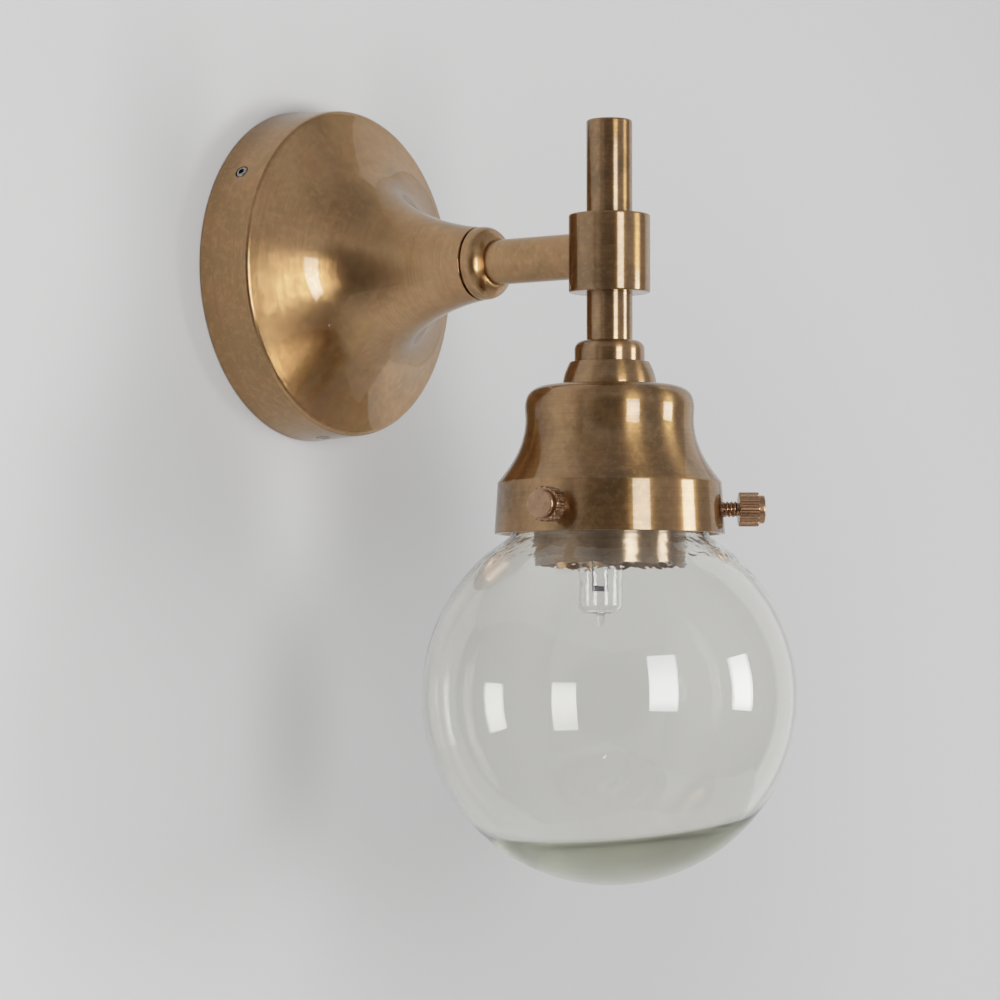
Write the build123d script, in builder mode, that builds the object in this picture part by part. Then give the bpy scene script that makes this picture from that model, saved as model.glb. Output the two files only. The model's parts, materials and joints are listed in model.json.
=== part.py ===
from build123d import *
from math import cos, radians, sin, sqrt
import os

# A globe wall sconce, in millimetres.
# The origin is the centre of the bracket's face on the wall. The wall is the plane Y = 0,
# the lamp stands out from it towards -Y, and +Z is up.

# ---------------------------------------------------------------- driving dimensions

# Where the lamp hangs
REACH = 125.4               # wall to the lamp's upright centre line
ARM_HEIGHT = 0.0            # arm's centre line above the origin

# Running and seating clearances
SEAT = 0.02                 # round pieces that are pushed together and stay
SLIP = 0.05                 # screws and bores that turn or slide
BUTT = 0.02                 # a screw tip or a saddle cut against a round wall
OVERCUT = 1.0               # how far a cut starts or ends outside what it cuts

# Wall rose, spun from brass sheet
ROSE_RADIUS = 55.9          # at the wall
ROSE_RIM_DEPTH = 19.4       # from the wall to the rim's front corner
ROSE_RIM_DRAFT = 1.2        # how much the rim draws in over that depth
ROSE_CORNER = 1.1           # radius of the rim's front corner
ROSE_WALL_GAP = 0.4         # the rose stops this far short of the wall
ROSE_SHEET = 1.5
NOSE_DEPTH = 73.4           # from the wall to the face of the nose
NOSE_RADIUS = 12.1
NOSE_FLOOR = 3.0            # thickness of the nose's face
FLARE_START_PULL = 27.5     # length of the flare curve's first handle
FLARE_END_PULL = 14.5       # and of its last
FLARE_START_ANGLE = 4.0     # the first handle's angle from the face of the rose
FLARE_END_ANGLE = 86.0      # the last handle's

# Grub screws round the rose's rim
GRUB_COUNT = 3
GRUB_FIRST_ANGLE = 146.5    # round from +X, as seen from in front
GRUB_DEPTH = 9.8            # from the wall
GRUB_RADIUS = 2.0
GRUB_LENGTH = 6.0
GRUB_PROUD = 0.25           # the screw stands out of the rim by this much
GRUB_SOCKET_FLATS = 2.0
GRUB_SOCKET_DEPTH = 2.2
GRUB_CHAMFER = 0.35

# Dished steel bracket on the wall
BRACKET_SHEET = 1.5
BRACKET_FLANGE_DEPTH = 14.5
BRACKET_BEND = 2.0
FIXING_SPACING = 60.0
FIXING_SLOT_LENGTH = 10.0
FIXING_SLOT_WIDTH = 4.8
CABLE_HOLE_RADIUS = 7.0

# Rubber grommet where the house wiring comes in
GROMMET_BORE = 5.0
GROMMET_LIP = 1.8           # how far its lip laps the plate
GROMMET_LIP_THICKNESS = 1.2

# Terminal block and its screws
BLOCK_POLES = 3
BLOCK_PITCH = 9.0
BLOCK_DEPTH = 17.0          # along the wires
BLOCK_HEIGHT = 12.0         # out from the bracket
BLOCK_DROP = 21.0           # its centre below the cable hole
BLOCK_WIRE_RADIUS = 1.9
BLOCK_SCREW_RADIUS = 1.5
BLOCK_SCREW_LENGTH = 4.0
BLOCK_SCREW_SINK = 1.0
BLOCK_SLEEVE_RADIUS = 2.7
BLOCK_SLEEVE_LENGTH = 14.0
BLOCK_CORNER = 1.5

# Earth screw on the bracket
EARTH_HEIGHT = 22.0
EARTH_RADIUS = 2.0
EARTH_LENGTH = 8.0
EARTH_HEAD_RADIUS = 3.9
EARTH_HEAD_HEIGHT = 2.6
EARTH_WASHER_RADIUS = 4.6
EARTH_WASHER_THICKNESS = 0.9
EARTH_BOSS_RADIUS = 4.2
EARTH_BOSS_HEIGHT = 2.5

# Arm and stem tubes
TUBE_RADIUS = 7.4
TUBE_WALL = 1.2
WIRE_WAY_RADIUS = 3.4       # the wire's way from the arm through into the stem

# Hollow threaded nipples
NIPPLE_RADIUS = 5.0
NIPPLE_BORE = 3.7
NIPPLE_ENTRY = 12.0         # how far a nipple goes into a tube's threaded bush
BUSH_LENGTH = 14.0
NUT_FLATS = 14.0
NUT_THICKNESS = 3.0
WASHER_RADIUS = 8.2
WASHER_THICKNESS = 1.0
NIPPLE_END = 1.5            # nipple left showing past its nut

# Domed ring round the arm at the nose
RING_GAP = 0.45             # dark line between the nose's lip and the ring
RING_GAP_RADIUS = 11.0
RING_RADIUS = 12.0
RING_STRAIGHT = 1.0
RING_LENGTH = 7.2
RING_TIP_RADIUS = 8.1
RING_BULGE = 0.62           # how full the dome is, as a share of its length

# Sleeve at the end of the arm
SLEEVE_RADIUS = 13.15
SLEEVE_HEIGHT = 25.2
SLEEVE_EDGE = 0.6
SLEEVE_GRUB_ANGLE = 150.0   # round from outward, on the side that faces away
SLEEVE_GRUB_SINK = 0.3

# Upright stem
STEM_TOP = 43.2             # closed end above the arm
STEM_BOTTOM = -33.4         # inside the collar
STEM_PLUG_THICKNESS = 1.6
STEM_PLUG_SPIGOT = 5.0
STEM_PLUG_EDGE = 0.8

# Collar round the stem's foot
COLLAR_RADIUS = 11.3
COLLAR_TOP = -28.0
COLLAR_BOTTOM = -34.9
COLLAR_EDGE = 3.0

# Stepped cone between the collar and the gallery
CONE_TOP_RADIUS = 12.8
CONE_BOTTOM_RADIUS = 15.05
CONE_BOTTOM = -42.4
CONE_MID_RADIUS = 14.5
CONE_MID = -38.9
CONE_SHEET = 1.4

# Gallery that holds the glass, spun from brass sheet
GALLERY_SHEET = 1.3
SHOULDER_RADIUS = 27.2
SHOULDER_HEIGHT = -50.0     # where the shoulder is widest
SHOULDER_TOP_RADIUS = 20.0  # where the flat top turns over
WAIST_RADIUS = 27.0
WAIST_HEIGHT = -53.3
RIM_TOP_RADIUS = 35.9
RIM_TOP = -73.6
RIM_FLARE = 1.05            # how much the rim band widens down to its bottom edge
RIM_BOTTOM = -90.1
RIM_SHEET = 1.7
RIM_SHOULDER = 1.3          # radius where the flare turns into the rim

# Thumb screws through the rim
THUMB_COUNT = 3
THUMB_FIRST_ANGLE = -81.0   # round from outward, seen from above, positive towards +X
THUMB_HEIGHT = -82.1
THUMB_THREAD_RADIUS = 2.5
THUMB_THREAD_ROOT = 2.05
THUMB_THREAD_PITCH = 1.27
THUMB_HEAD_RADIUS = 5.5
THUMB_HEAD_LENGTH = 6.4
THUMB_STAND_OFF = 5.5       # from the top of the rim band out to the head's inner face
THUMB_BOSS_RADIUS = 4.5
THUMB_BOSS_LENGTH = 1.9
THUMB_KNURLS = 18
THUMB_KNURL_RADIUS = 0.55   # of each groove
THUMB_EDGE = 0.35

# Blown glass globe
GLOBE_RADIUS = 60.2
GLOBE_HANG = 4.174          # from the rim's bottom edge straight down to the ball
GLOBE_WALL = 1.9
GLOBE_BASE = 7.6            # thickness of the gathered glass at the bottom
GLOBE_BASE_FLATNESS = 86.0  # radius of the inner face over that base
GLOBE_BASE_LEAN = 6.0       # degrees that the thick base leans to one side
LIP_PROUD = 2.1             # how far the lip stands out from the neck
NECK_WALL = 3.2
NECK_FILLET = 3.0
NECK_INNER_STEP = -95.0     # where the thick neck ends on the inside
NECK_STEP_RISE = 2.4        # height of the slope from there up to the neck's bore
LIP_CLEARANCE = 0.7         # from the lip to the inside of the gallery's rim
LIP_TOP = -75.2
LIP_HEIGHT = 3.6
TIP_TO_NECK = 0.35          # a thumb screw's tip to the glass

# Lampholder cup
CUP_CLEARANCE = 3.8         # from the cup to the inside of the glass neck
CUP_TOP = -60.5
CUP_BOTTOM = -100.2
CUP_SHEET = 1.2
CUP_EDGE = 3.0

# Ceramic lampholder and its steel bracket
HOLDER_OFFSET = 3.0         # the holder sits this far to one side
HOLDER_OFFSET_ANGLE = 126.5 # in plan, round from +X
HOLDER_WIDTH = 20.0
HOLDER_THICKNESS = 14.0
HOLDER_HEIGHT = 15.5
HOLDER_BOTTOM = -86.5
HOLDER_CORNER = 2.5
HOLDER_SEAT_DEPTH = 3.2     # slot that the lamp's flat pinch goes into
HOLDER_CLEARANCE = 0.3
STRAP_SHEET = 1.0
STRAP_WIDTH = 12.0
STRAP_LEG = 9.0             # how far each leg runs down the ceramic
STRAP_SCREW_RADIUS = 1.4
STRAP_SCREW_LENGTH = 5.0
STRAP_HEAD_RADIUS = 2.6
STRAP_HEAD_HEIGHT = 1.5

# Capsule lamp with two looped pins
BULB_RADIUS = 7.05
BULB_GLASS = 0.9
BULB_BOTTOM = -115.6
BULB_TOP = -91.5            # where the capsule shuts above the filament
BULB_EDGE = 3.0
PIP_RADIUS = 1.5
PIP_LENGTH = 4.0
PINCH_WIDTH = 13.0
PINCH_THICKNESS = 3.4
PIN_SPACING = 9.0
PIN_LENGTH = 5.0
PIN_WIDTH = 2.2
PIN_ROOM = 1.5              # space over the pins in the ceramic
PIN_WIRE = 0.45
CONTACT_SHEET = 0.5
FILAMENT_COIL_RADIUS = 0.7
FILAMENT_WIRE = 0.2
FILAMENT_TURNS = 7
FILAMENT_LEVEL = -107.5

os.makedirs("parts", exist_ok=True)

# ---------------------------------------------------------------- shared places

# The glass, the cup and the thumb screws all take their radii from the gallery's rim band.
rim_bottom_radius = RIM_TOP_RADIUS + RIM_FLARE
rim_radius_at_thumb = RIM_TOP_RADIUS + RIM_FLARE * (RIM_TOP - THUMB_HEIGHT) / (RIM_TOP - RIM_BOTTOM)
thumb_head_start = RIM_TOP_RADIUS + THUMB_STAND_OFF
lip_radius = RIM_TOP_RADIUS - RIM_SHEET - LIP_CLEARANCE
neck_radius = lip_radius - LIP_PROUD
neck_inner = neck_radius - NECK_WALL
cup_radius = neck_inner - CUP_CLEARANCE
globe_centre = RIM_BOTTOM - GLOBE_HANG - sqrt(GLOBE_RADIUS**2 - rim_bottom_radius**2)

# A section of anything turned about the arm: first value is radius, second is distance from the wall.
ARM_SECTION = Plane(origin=(0, 0, ARM_HEIGHT), x_dir=(1, 0, 0), z_dir=(0, 0, -1))
ARM_AXIS = Axis((0, 0, ARM_HEIGHT), (0, -1, 0))

# A section of anything turned about the lamp's upright line: first value is radius, second is height.
LAMP_SECTION = Plane(origin=(0, -REACH, 0), x_dir=(1, 0, 0), z_dir=(0, -1, 0))
LAMP_AXIS = Axis((0, -REACH, 0), (0, 0, 1))


def arm_plane(depth):
    """A plane facing out from the wall, its origin on the arm's centre line."""
    return Plane(origin=(0, -depth, ARM_HEIGHT), x_dir=(1, 0, 0), z_dir=(0, -1, 0))


def lamp_plane(height):
    """A level plane with its origin on the lamp's centre line."""
    return Plane(origin=(0, -REACH, height), x_dir=(1, 0, 0), z_dir=(0, 0, 1))


def keep(piece, name):
    piece.label = name
    export_step(piece, f"parts/{name}.step")


# ---------------------------------------------------------------- wall rose

nose_inner_face = NOSE_DEPTH - NOSE_FLOOR
rim_front_radius = ROSE_RADIUS - ROSE_RIM_DRAFT


def flare(radius_inset, depth_inset, end_depth):
    """The curve from the rim's corner to the nose, moved in by the sheet for the inside."""
    start = (rim_front_radius - radius_inset, ROSE_RIM_DEPTH - depth_inset)
    end = (NOSE_RADIUS - radius_inset, end_depth)
    first = radians(FLARE_START_ANGLE)
    last = radians(FLARE_END_ANGLE)
    return Bezier(
        start,
        (start[0] - FLARE_START_PULL * cos(first), start[1] + FLARE_START_PULL * sin(first)),
        (end[0] + FLARE_END_PULL * cos(last), end[1] - FLARE_END_PULL * sin(last)),
        end,
    )


with BuildPart() as rose_cavity:
    with BuildSketch(ARM_SECTION):
        with BuildLine():
            inner = flare(ROSE_SHEET, ROSE_SHEET, nose_inner_face)
            Polyline(
                inner @ 1,
                (0, nose_inner_face),
                (0, -OVERCUT),
                (ROSE_RADIUS - ROSE_SHEET, -OVERCUT),
                inner @ 0,
            )
        make_face()
    revolve(axis=ARM_AXIS)

with BuildPart() as wall_rose:
    with BuildSketch(ARM_SECTION):
        with BuildLine():
            outer = flare(0, 0, NOSE_DEPTH)
            Polyline(
                outer @ 1,
                (0, NOSE_DEPTH),
                (0, ROSE_WALL_GAP),
                (ROSE_RADIUS, ROSE_WALL_GAP),
                outer @ 0,
            )
        make_face()
    revolve(axis=ARM_AXIS)
    rim_corner = wall_rose.edges().filter_by(GeomType.CIRCLE).filter_by(
        lambda edge: abs(edge.arc_center.Y + ROSE_RIM_DEPTH) < 0.001
    )
    fillet(rim_corner, ROSE_CORNER)
    add(rose_cavity.part, mode=Mode.SUBTRACT)
    with BuildSketch(arm_plane(nose_inner_face - OVERCUT)):
        Circle(NIPPLE_RADIUS + SLIP)
    extrude(amount=NOSE_FLOOR + 2 * OVERCUT, mode=Mode.SUBTRACT)
    rim_radius_at_grub = ROSE_RADIUS - ROSE_RIM_DRAFT * GRUB_DEPTH / ROSE_RIM_DEPTH
    for index in range(GRUB_COUNT):
        angle = GRUB_FIRST_ANGLE + index * 360 / GRUB_COUNT
        outward = Vector(cos(radians(angle)), 0, sin(radians(angle)))
        start = outward * (rim_radius_at_grub + OVERCUT) + Vector(0, -GRUB_DEPTH, ARM_HEIGHT)
        with BuildSketch(Plane(origin=start, z_dir=outward * -1)):
            Circle(GRUB_RADIUS + SLIP)
        extrude(amount=ROSE_SHEET + 3 * OVERCUT, mode=Mode.SUBTRACT)
keep(wall_rose.part, "wall_rose")

# ---------------------------------------------------------------- grub screws in the rim

grub_outer = rim_radius_at_grub + GRUB_PROUD
grub_tip = grub_outer - GRUB_LENGTH


def grub_screw(origin, inward, length):
    """A headless screw with a hexagon socket, from its socket end inwards."""
    with BuildPart() as screw:
        with BuildSketch(Plane(origin=origin, z_dir=inward)):
            Circle(GRUB_RADIUS)
        extrude(amount=length)
        chamfer(screw.edges().filter_by(GeomType.CIRCLE), GRUB_CHAMFER)
        with BuildSketch(Plane(origin=origin, z_dir=inward)):
            RegularPolygon(GRUB_SOCKET_FLATS / 2, 6, major_radius=False)
        extrude(amount=GRUB_SOCKET_DEPTH, mode=Mode.SUBTRACT)
    return screw.part


rose_grubs = []
for index in range(GRUB_COUNT):
    angle = GRUB_FIRST_ANGLE + index * 360 / GRUB_COUNT
    outward = Vector(cos(radians(angle)), 0, sin(radians(angle)))
    place = outward * grub_outer + Vector(0, -GRUB_DEPTH, ARM_HEIGHT)
    rose_grubs.append(grub_screw(place, outward * -1, GRUB_LENGTH))
keep(Compound(children=rose_grubs), "rose_grub_screws")

# ---------------------------------------------------------------- wall bracket

bracket_radius = grub_tip - BUTT

with BuildPart() as wall_bracket:
    with BuildSketch(arm_plane(0)):
        Circle(bracket_radius)
    extrude(amount=BRACKET_FLANGE_DEPTH)
    fillet(wall_bracket.faces().sort_by(Axis.Y)[-1].edges(), BRACKET_BEND + BRACKET_SHEET)
    with BuildPart(mode=Mode.PRIVATE) as dish:
        with BuildSketch(arm_plane(BRACKET_SHEET)):
            Circle(bracket_radius - BRACKET_SHEET)
        extrude(amount=BRACKET_FLANGE_DEPTH)
        fillet(dish.faces().sort_by(Axis.Y)[-1].edges(), BRACKET_BEND)
    add(dish.part, mode=Mode.SUBTRACT)
    with BuildSketch(arm_plane(BRACKET_SHEET)):
        with Locations((0, EARTH_HEIGHT)):
            Circle(EARTH_BOSS_RADIUS)
    extrude(amount=EARTH_BOSS_HEIGHT)
    with BuildSketch(arm_plane(0)):
        Circle(CABLE_HOLE_RADIUS)
        with Locations((-FIXING_SPACING / 2, 0), (FIXING_SPACING / 2, 0)):
            SlotOverall(FIXING_SLOT_LENGTH, FIXING_SLOT_WIDTH)
        with Locations((0, EARTH_HEIGHT)):
            Circle(EARTH_RADIUS + SLIP)
    extrude(amount=BRACKET_SHEET + EARTH_BOSS_HEIGHT + OVERCUT, mode=Mode.SUBTRACT)
keep(wall_bracket.part, "wall_bracket")

with BuildPart() as cable_grommet:
    with BuildSketch(arm_plane(0)):
        Circle(CABLE_HOLE_RADIUS - SEAT)
    extrude(amount=BRACKET_SHEET)
    with BuildSketch(arm_plane(BRACKET_SHEET)):
        Circle(CABLE_HOLE_RADIUS + GROMMET_LIP)
    extrude(amount=GROMMET_LIP_THICKNESS)
    fillet(cable_grommet.faces().sort_by(Axis.Y)[0].edges(), GROMMET_LIP_THICKNESS / 2)
    with BuildSketch(arm_plane(0)):
        Circle(GROMMET_BORE)
    extrude(amount=BRACKET_SHEET + GROMMET_LIP_THICKNESS, mode=Mode.SUBTRACT)
keep(cable_grommet.part, "cable_grommet")

# ---------------------------------------------------------------- earth screw and washer

earth_face = BRACKET_SHEET + EARTH_BOSS_HEIGHT

with BuildPart() as earth_washer:
    with BuildSketch(arm_plane(earth_face)):
        with Locations((0, EARTH_HEIGHT)):
            Circle(EARTH_WASHER_RADIUS)
            Circle(EARTH_RADIUS + SLIP, mode=Mode.SUBTRACT)
    extrude(amount=EARTH_WASHER_THICKNESS)
keep(earth_washer.part, "earth_washer")

with BuildPart() as earth_screw:
    earth_seat = earth_face + EARTH_WASHER_THICKNESS
    with BuildSketch(arm_plane(earth_seat)):
        with Locations((0, EARTH_HEIGHT)):
            Circle(EARTH_HEAD_RADIUS)
    extrude(amount=EARTH_HEAD_HEIGHT)
    fillet(earth_screw.faces().sort_by(Axis.Y)[0].edges(), EARTH_HEAD_HEIGHT / 3)
    earth_shank = min(EARTH_LENGTH, earth_seat - 0.1)
    with BuildSketch(arm_plane(earth_seat - earth_shank)):
        with Locations((0, EARTH_HEIGHT)):
            Circle(EARTH_RADIUS)
    extrude(amount=earth_shank)
    with BuildSketch(arm_plane(earth_seat + EARTH_HEAD_HEIGHT / 2)):
        with Locations((0, EARTH_HEIGHT)):
            Rectangle(EARTH_HEAD_RADIUS * 2 + OVERCUT, EARTH_HEAD_RADIUS / 4)
            Rectangle(EARTH_HEAD_RADIUS / 4, EARTH_HEAD_RADIUS * 1.2)
    extrude(amount=EARTH_HEAD_HEIGHT, mode=Mode.SUBTRACT)
keep(earth_screw.part, "earth_screw")

# ---------------------------------------------------------------- terminal block

block_width = BLOCK_PITCH * BLOCK_POLES
block_middle = BRACKET_SHEET + BLOCK_HEIGHT / 2
block_top = BRACKET_SHEET + BLOCK_HEIGHT
pole_places = [(index - (BLOCK_POLES - 1) / 2) * BLOCK_PITCH for index in range(BLOCK_POLES)]
screw_offset = BLOCK_SLEEVE_LENGTH / 4

with BuildPart() as terminal_block:
    with BuildSketch(arm_plane(BRACKET_SHEET)):
        with Locations((0, -BLOCK_DROP)):
            Rectangle(block_width, BLOCK_DEPTH)
    extrude(amount=BLOCK_HEIGHT)
    fillet(terminal_block.edges().filter_by(Axis.Y), BLOCK_CORNER)
    for across in pole_places:
        with BuildSketch(Plane(origin=(across, -block_middle, ARM_HEIGHT - BLOCK_DROP - BLOCK_DEPTH / 2 - OVERCUT))):
            Circle(BLOCK_SLEEVE_RADIUS + SEAT)
        extrude(amount=BLOCK_DEPTH + 2 * OVERCUT, mode=Mode.SUBTRACT)
        with BuildSketch(arm_plane(block_middle)):
            with Locations((across, -BLOCK_DROP - screw_offset), (across, -BLOCK_DROP + screw_offset)):
                Circle(BLOCK_SCREW_RADIUS + SLIP)
        extrude(amount=BLOCK_HEIGHT, mode=Mode.SUBTRACT)
keep(terminal_block.part, "terminal_block")

clamp_sleeves = []
block_screws = []
screw_head_level = block_top - BLOCK_SCREW_SINK
screw_tip_level = screw_head_level - BLOCK_SCREW_LENGTH
for across in pole_places:
    with BuildPart() as clamp_sleeve:
        sleeve_foot = ARM_HEIGHT - BLOCK_DROP - BLOCK_SLEEVE_LENGTH / 2
        with BuildSketch(Plane(origin=(across, -block_middle, sleeve_foot))):
            Circle(BLOCK_SLEEVE_RADIUS)
            Circle(BLOCK_WIRE_RADIUS, mode=Mode.SUBTRACT)
        extrude(amount=BLOCK_SLEEVE_LENGTH)
        with BuildSketch(arm_plane(block_middle)):
            with Locations((across, -BLOCK_DROP - screw_offset), (across, -BLOCK_DROP + screw_offset)):
                Circle(BLOCK_SCREW_RADIUS + SLIP)
        extrude(amount=BLOCK_HEIGHT, mode=Mode.SUBTRACT)
    clamp_sleeves.append(clamp_sleeve.part)
    for along in (-BLOCK_DROP - screw_offset, -BLOCK_DROP + screw_offset):
        with BuildPart() as block_screw:
            with BuildSketch(arm_plane(screw_tip_level)):
                with Locations((across, along)):
                    Circle(BLOCK_SCREW_RADIUS)
            extrude(amount=BLOCK_SCREW_LENGTH)
            with BuildSketch(arm_plane(screw_head_level)):
                with Locations((across, along)):
                    Rectangle(BLOCK_SCREW_RADIUS * 2 + OVERCUT, BLOCK_SCREW_RADIUS / 3)
            extrude(amount=-BLOCK_SCREW_RADIUS / 2, mode=Mode.SUBTRACT)
        block_screws.append(block_screw.part)
keep(Compound(children=clamp_sleeves), "terminal_sleeves")
keep(Compound(children=block_screws), "terminal_screws")

# ---------------------------------------------------------------- arm fixing inside the nose

arm_start = NOSE_DEPTH
arm_nipple_start = nose_inner_face - WASHER_THICKNESS - NUT_THICKNESS - NIPPLE_END
arm_nipple_end = arm_start + NIPPLE_ENTRY

with BuildPart() as arm_nipple:
    with BuildSketch(arm_plane(arm_nipple_start)):
        Circle(NIPPLE_RADIUS)
        Circle(NIPPLE_BORE, mode=Mode.SUBTRACT)
    extrude(amount=arm_nipple_end - arm_nipple_start)
keep(arm_nipple.part, "arm_nipple")

with BuildPart() as nose_washer:
    with BuildSketch(arm_plane(nose_inner_face - WASHER_THICKNESS)):
        Circle(WASHER_RADIUS)
        Circle(NIPPLE_RADIUS + SLIP, mode=Mode.SUBTRACT)
    extrude(amount=WASHER_THICKNESS)
keep(nose_washer.part, "nose_washer")


def nut_sketch():
    """A thin hexagon nut for the hollow nipple."""
    RegularPolygon(NUT_FLATS / 2, 6, major_radius=False, rotation=30)
    Circle(NIPPLE_RADIUS + SEAT, mode=Mode.SUBTRACT)


with BuildPart() as nose_nut:
    with BuildSketch(arm_plane(nose_inner_face - WASHER_THICKNESS - NUT_THICKNESS)):
        nut_sketch()
    extrude(amount=NUT_THICKNESS)
keep(nose_nut.part, "nose_nut")

# ---------------------------------------------------------------- domed ring

ring_base = NOSE_DEPTH + RING_GAP
ring_tip = NOSE_DEPTH + RING_LENGTH
dome_start = ring_base + RING_STRAIGHT
dome_length = ring_tip - dome_start

with BuildPart() as nose_ring:
    with BuildSketch(ARM_SECTION):
        with BuildLine():
            Polyline(
                (RING_TIP_RADIUS, ring_tip),
                (TUBE_RADIUS + SEAT, ring_tip),
                (TUBE_RADIUS + SEAT, NOSE_DEPTH),
                (RING_GAP_RADIUS, NOSE_DEPTH),
                (RING_GAP_RADIUS, ring_base),
                (RING_RADIUS, ring_base),
                (RING_RADIUS, dome_start),
            )
            Bezier(
                (RING_RADIUS, dome_start),
                (RING_RADIUS, dome_start + dome_length * RING_BULGE),
                (RING_RADIUS - (RING_RADIUS - RING_TIP_RADIUS) * (1 - RING_BULGE), ring_tip - dome_length / 5),
                (RING_TIP_RADIUS, ring_tip),
            )
        make_face()
    revolve(axis=ARM_AXIS)
keep(nose_ring.part, "nose_ring")

# ---------------------------------------------------------------- arm tube and its bush

tube_bore = TUBE_RADIUS - TUBE_WALL

with BuildPart() as arm_tube:
    with BuildSketch(arm_plane(arm_start)):
        Circle(TUBE_RADIUS)
        Circle(tube_bore, mode=Mode.SUBTRACT)
    extrude(amount=REACH - arm_start)
    with BuildSketch(lamp_plane(ARM_HEIGHT - SLEEVE_HEIGHT)):
        Circle(SLEEVE_RADIUS + BUTT)
    extrude(amount=2 * SLEEVE_HEIGHT, mode=Mode.SUBTRACT)
keep(arm_tube.part, "arm_tube")

with BuildPart() as arm_bush:
    with BuildSketch(arm_plane(arm_start)):
        Circle(tube_bore - SEAT)
        Circle(NIPPLE_RADIUS + SEAT, mode=Mode.SUBTRACT)
    extrude(amount=BUSH_LENGTH)
keep(arm_bush.part, "arm_bush")

# ---------------------------------------------------------------- sleeve and its hidden grub screw

sleeve_bore = TUBE_RADIUS + SEAT
sleeve_grub_out = Vector(sin(radians(SLEEVE_GRUB_ANGLE)), -cos(radians(SLEEVE_GRUB_ANGLE)), 0)
sleeve_centre = Vector(0, -REACH, ARM_HEIGHT)
sleeve_grub_start = SLEEVE_RADIUS - SLEEVE_GRUB_SINK
sleeve_grub_length = sleeve_grub_start - TUBE_RADIUS - BUTT

with BuildPart() as sleeve:
    with BuildSketch(lamp_plane(ARM_HEIGHT - SLEEVE_HEIGHT / 2)):
        Circle(SLEEVE_RADIUS)
    extrude(amount=SLEEVE_HEIGHT)
    fillet(sleeve.edges().filter_by(GeomType.CIRCLE), SLEEVE_EDGE)
    with BuildSketch(lamp_plane(ARM_HEIGHT - SLEEVE_HEIGHT)):
        Circle(sleeve_bore)
    extrude(amount=2 * SLEEVE_HEIGHT, mode=Mode.SUBTRACT)
    with BuildSketch(arm_plane(REACH - SLEEVE_RADIUS - OVERCUT)):
        Circle(WIRE_WAY_RADIUS)
    extrude(amount=SLEEVE_RADIUS, mode=Mode.SUBTRACT)
    with BuildSketch(Plane(origin=sleeve_centre + sleeve_grub_out * (SLEEVE_RADIUS + OVERCUT), z_dir=sleeve_grub_out * -1)):
        Circle(GRUB_RADIUS + SLIP)
    extrude(amount=SLEEVE_RADIUS, mode=Mode.SUBTRACT)
keep(sleeve.part, "sleeve")

keep(
    grub_screw(sleeve_centre + sleeve_grub_out * sleeve_grub_start, sleeve_grub_out * -1, sleeve_grub_length),
    "sleeve_grub_screw",
)

# ---------------------------------------------------------------- stem

plug_seat = STEM_TOP - STEM_PLUG_THICKNESS

with BuildPart() as stem_tube:
    with BuildSketch(lamp_plane(STEM_BOTTOM)):
        Circle(TUBE_RADIUS)
        Circle(tube_bore, mode=Mode.SUBTRACT)
    extrude(amount=plug_seat - STEM_BOTTOM)
    with BuildSketch(arm_plane(REACH - TUBE_RADIUS - OVERCUT)):
        Circle(WIRE_WAY_RADIUS)
    extrude(amount=TUBE_RADIUS, mode=Mode.SUBTRACT)
keep(stem_tube.part, "stem_tube")

with BuildPart() as stem_top_plug:
    with BuildSketch(lamp_plane(plug_seat)):
        Circle(TUBE_RADIUS)
    extrude(amount=STEM_PLUG_THICKNESS)
    fillet(stem_top_plug.faces().sort_by(Axis.Z)[-1].edges(), STEM_PLUG_EDGE)
    with BuildSketch(lamp_plane(plug_seat - STEM_PLUG_SPIGOT)):
        Circle(tube_bore - SEAT)
    extrude(amount=STEM_PLUG_SPIGOT)
keep(stem_top_plug.part, "stem_top_plug")

with BuildPart() as stem_bush:
    with BuildSketch(lamp_plane(STEM_BOTTOM)):
        Circle(tube_bore - SEAT)
        Circle(NIPPLE_RADIUS + SEAT, mode=Mode.SUBTRACT)
    extrude(amount=BUSH_LENGTH)
keep(stem_bush.part, "stem_bush")

# ---------------------------------------------------------------- collar

with BuildPart() as stem_collar:
    with BuildSketch(lamp_plane(COLLAR_BOTTOM)):
        Circle(COLLAR_RADIUS)
    extrude(amount=COLLAR_TOP - COLLAR_BOTTOM)
    fillet(stem_collar.faces().sort_by(Axis.Z)[-1].edges(), COLLAR_EDGE)
    with BuildSketch(lamp_plane(STEM_BOTTOM)):
        Circle(TUBE_RADIUS + SEAT)
    extrude(amount=COLLAR_TOP - STEM_BOTTOM + OVERCUT, mode=Mode.SUBTRACT)
    with BuildSketch(lamp_plane(COLLAR_BOTTOM)):
        Circle(NIPPLE_RADIUS + SLIP)
    extrude(amount=STEM_BOTTOM - COLLAR_BOTTOM, mode=Mode.SUBTRACT)
keep(stem_collar.part, "stem_collar")

# ---------------------------------------------------------------- cone cap

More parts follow.
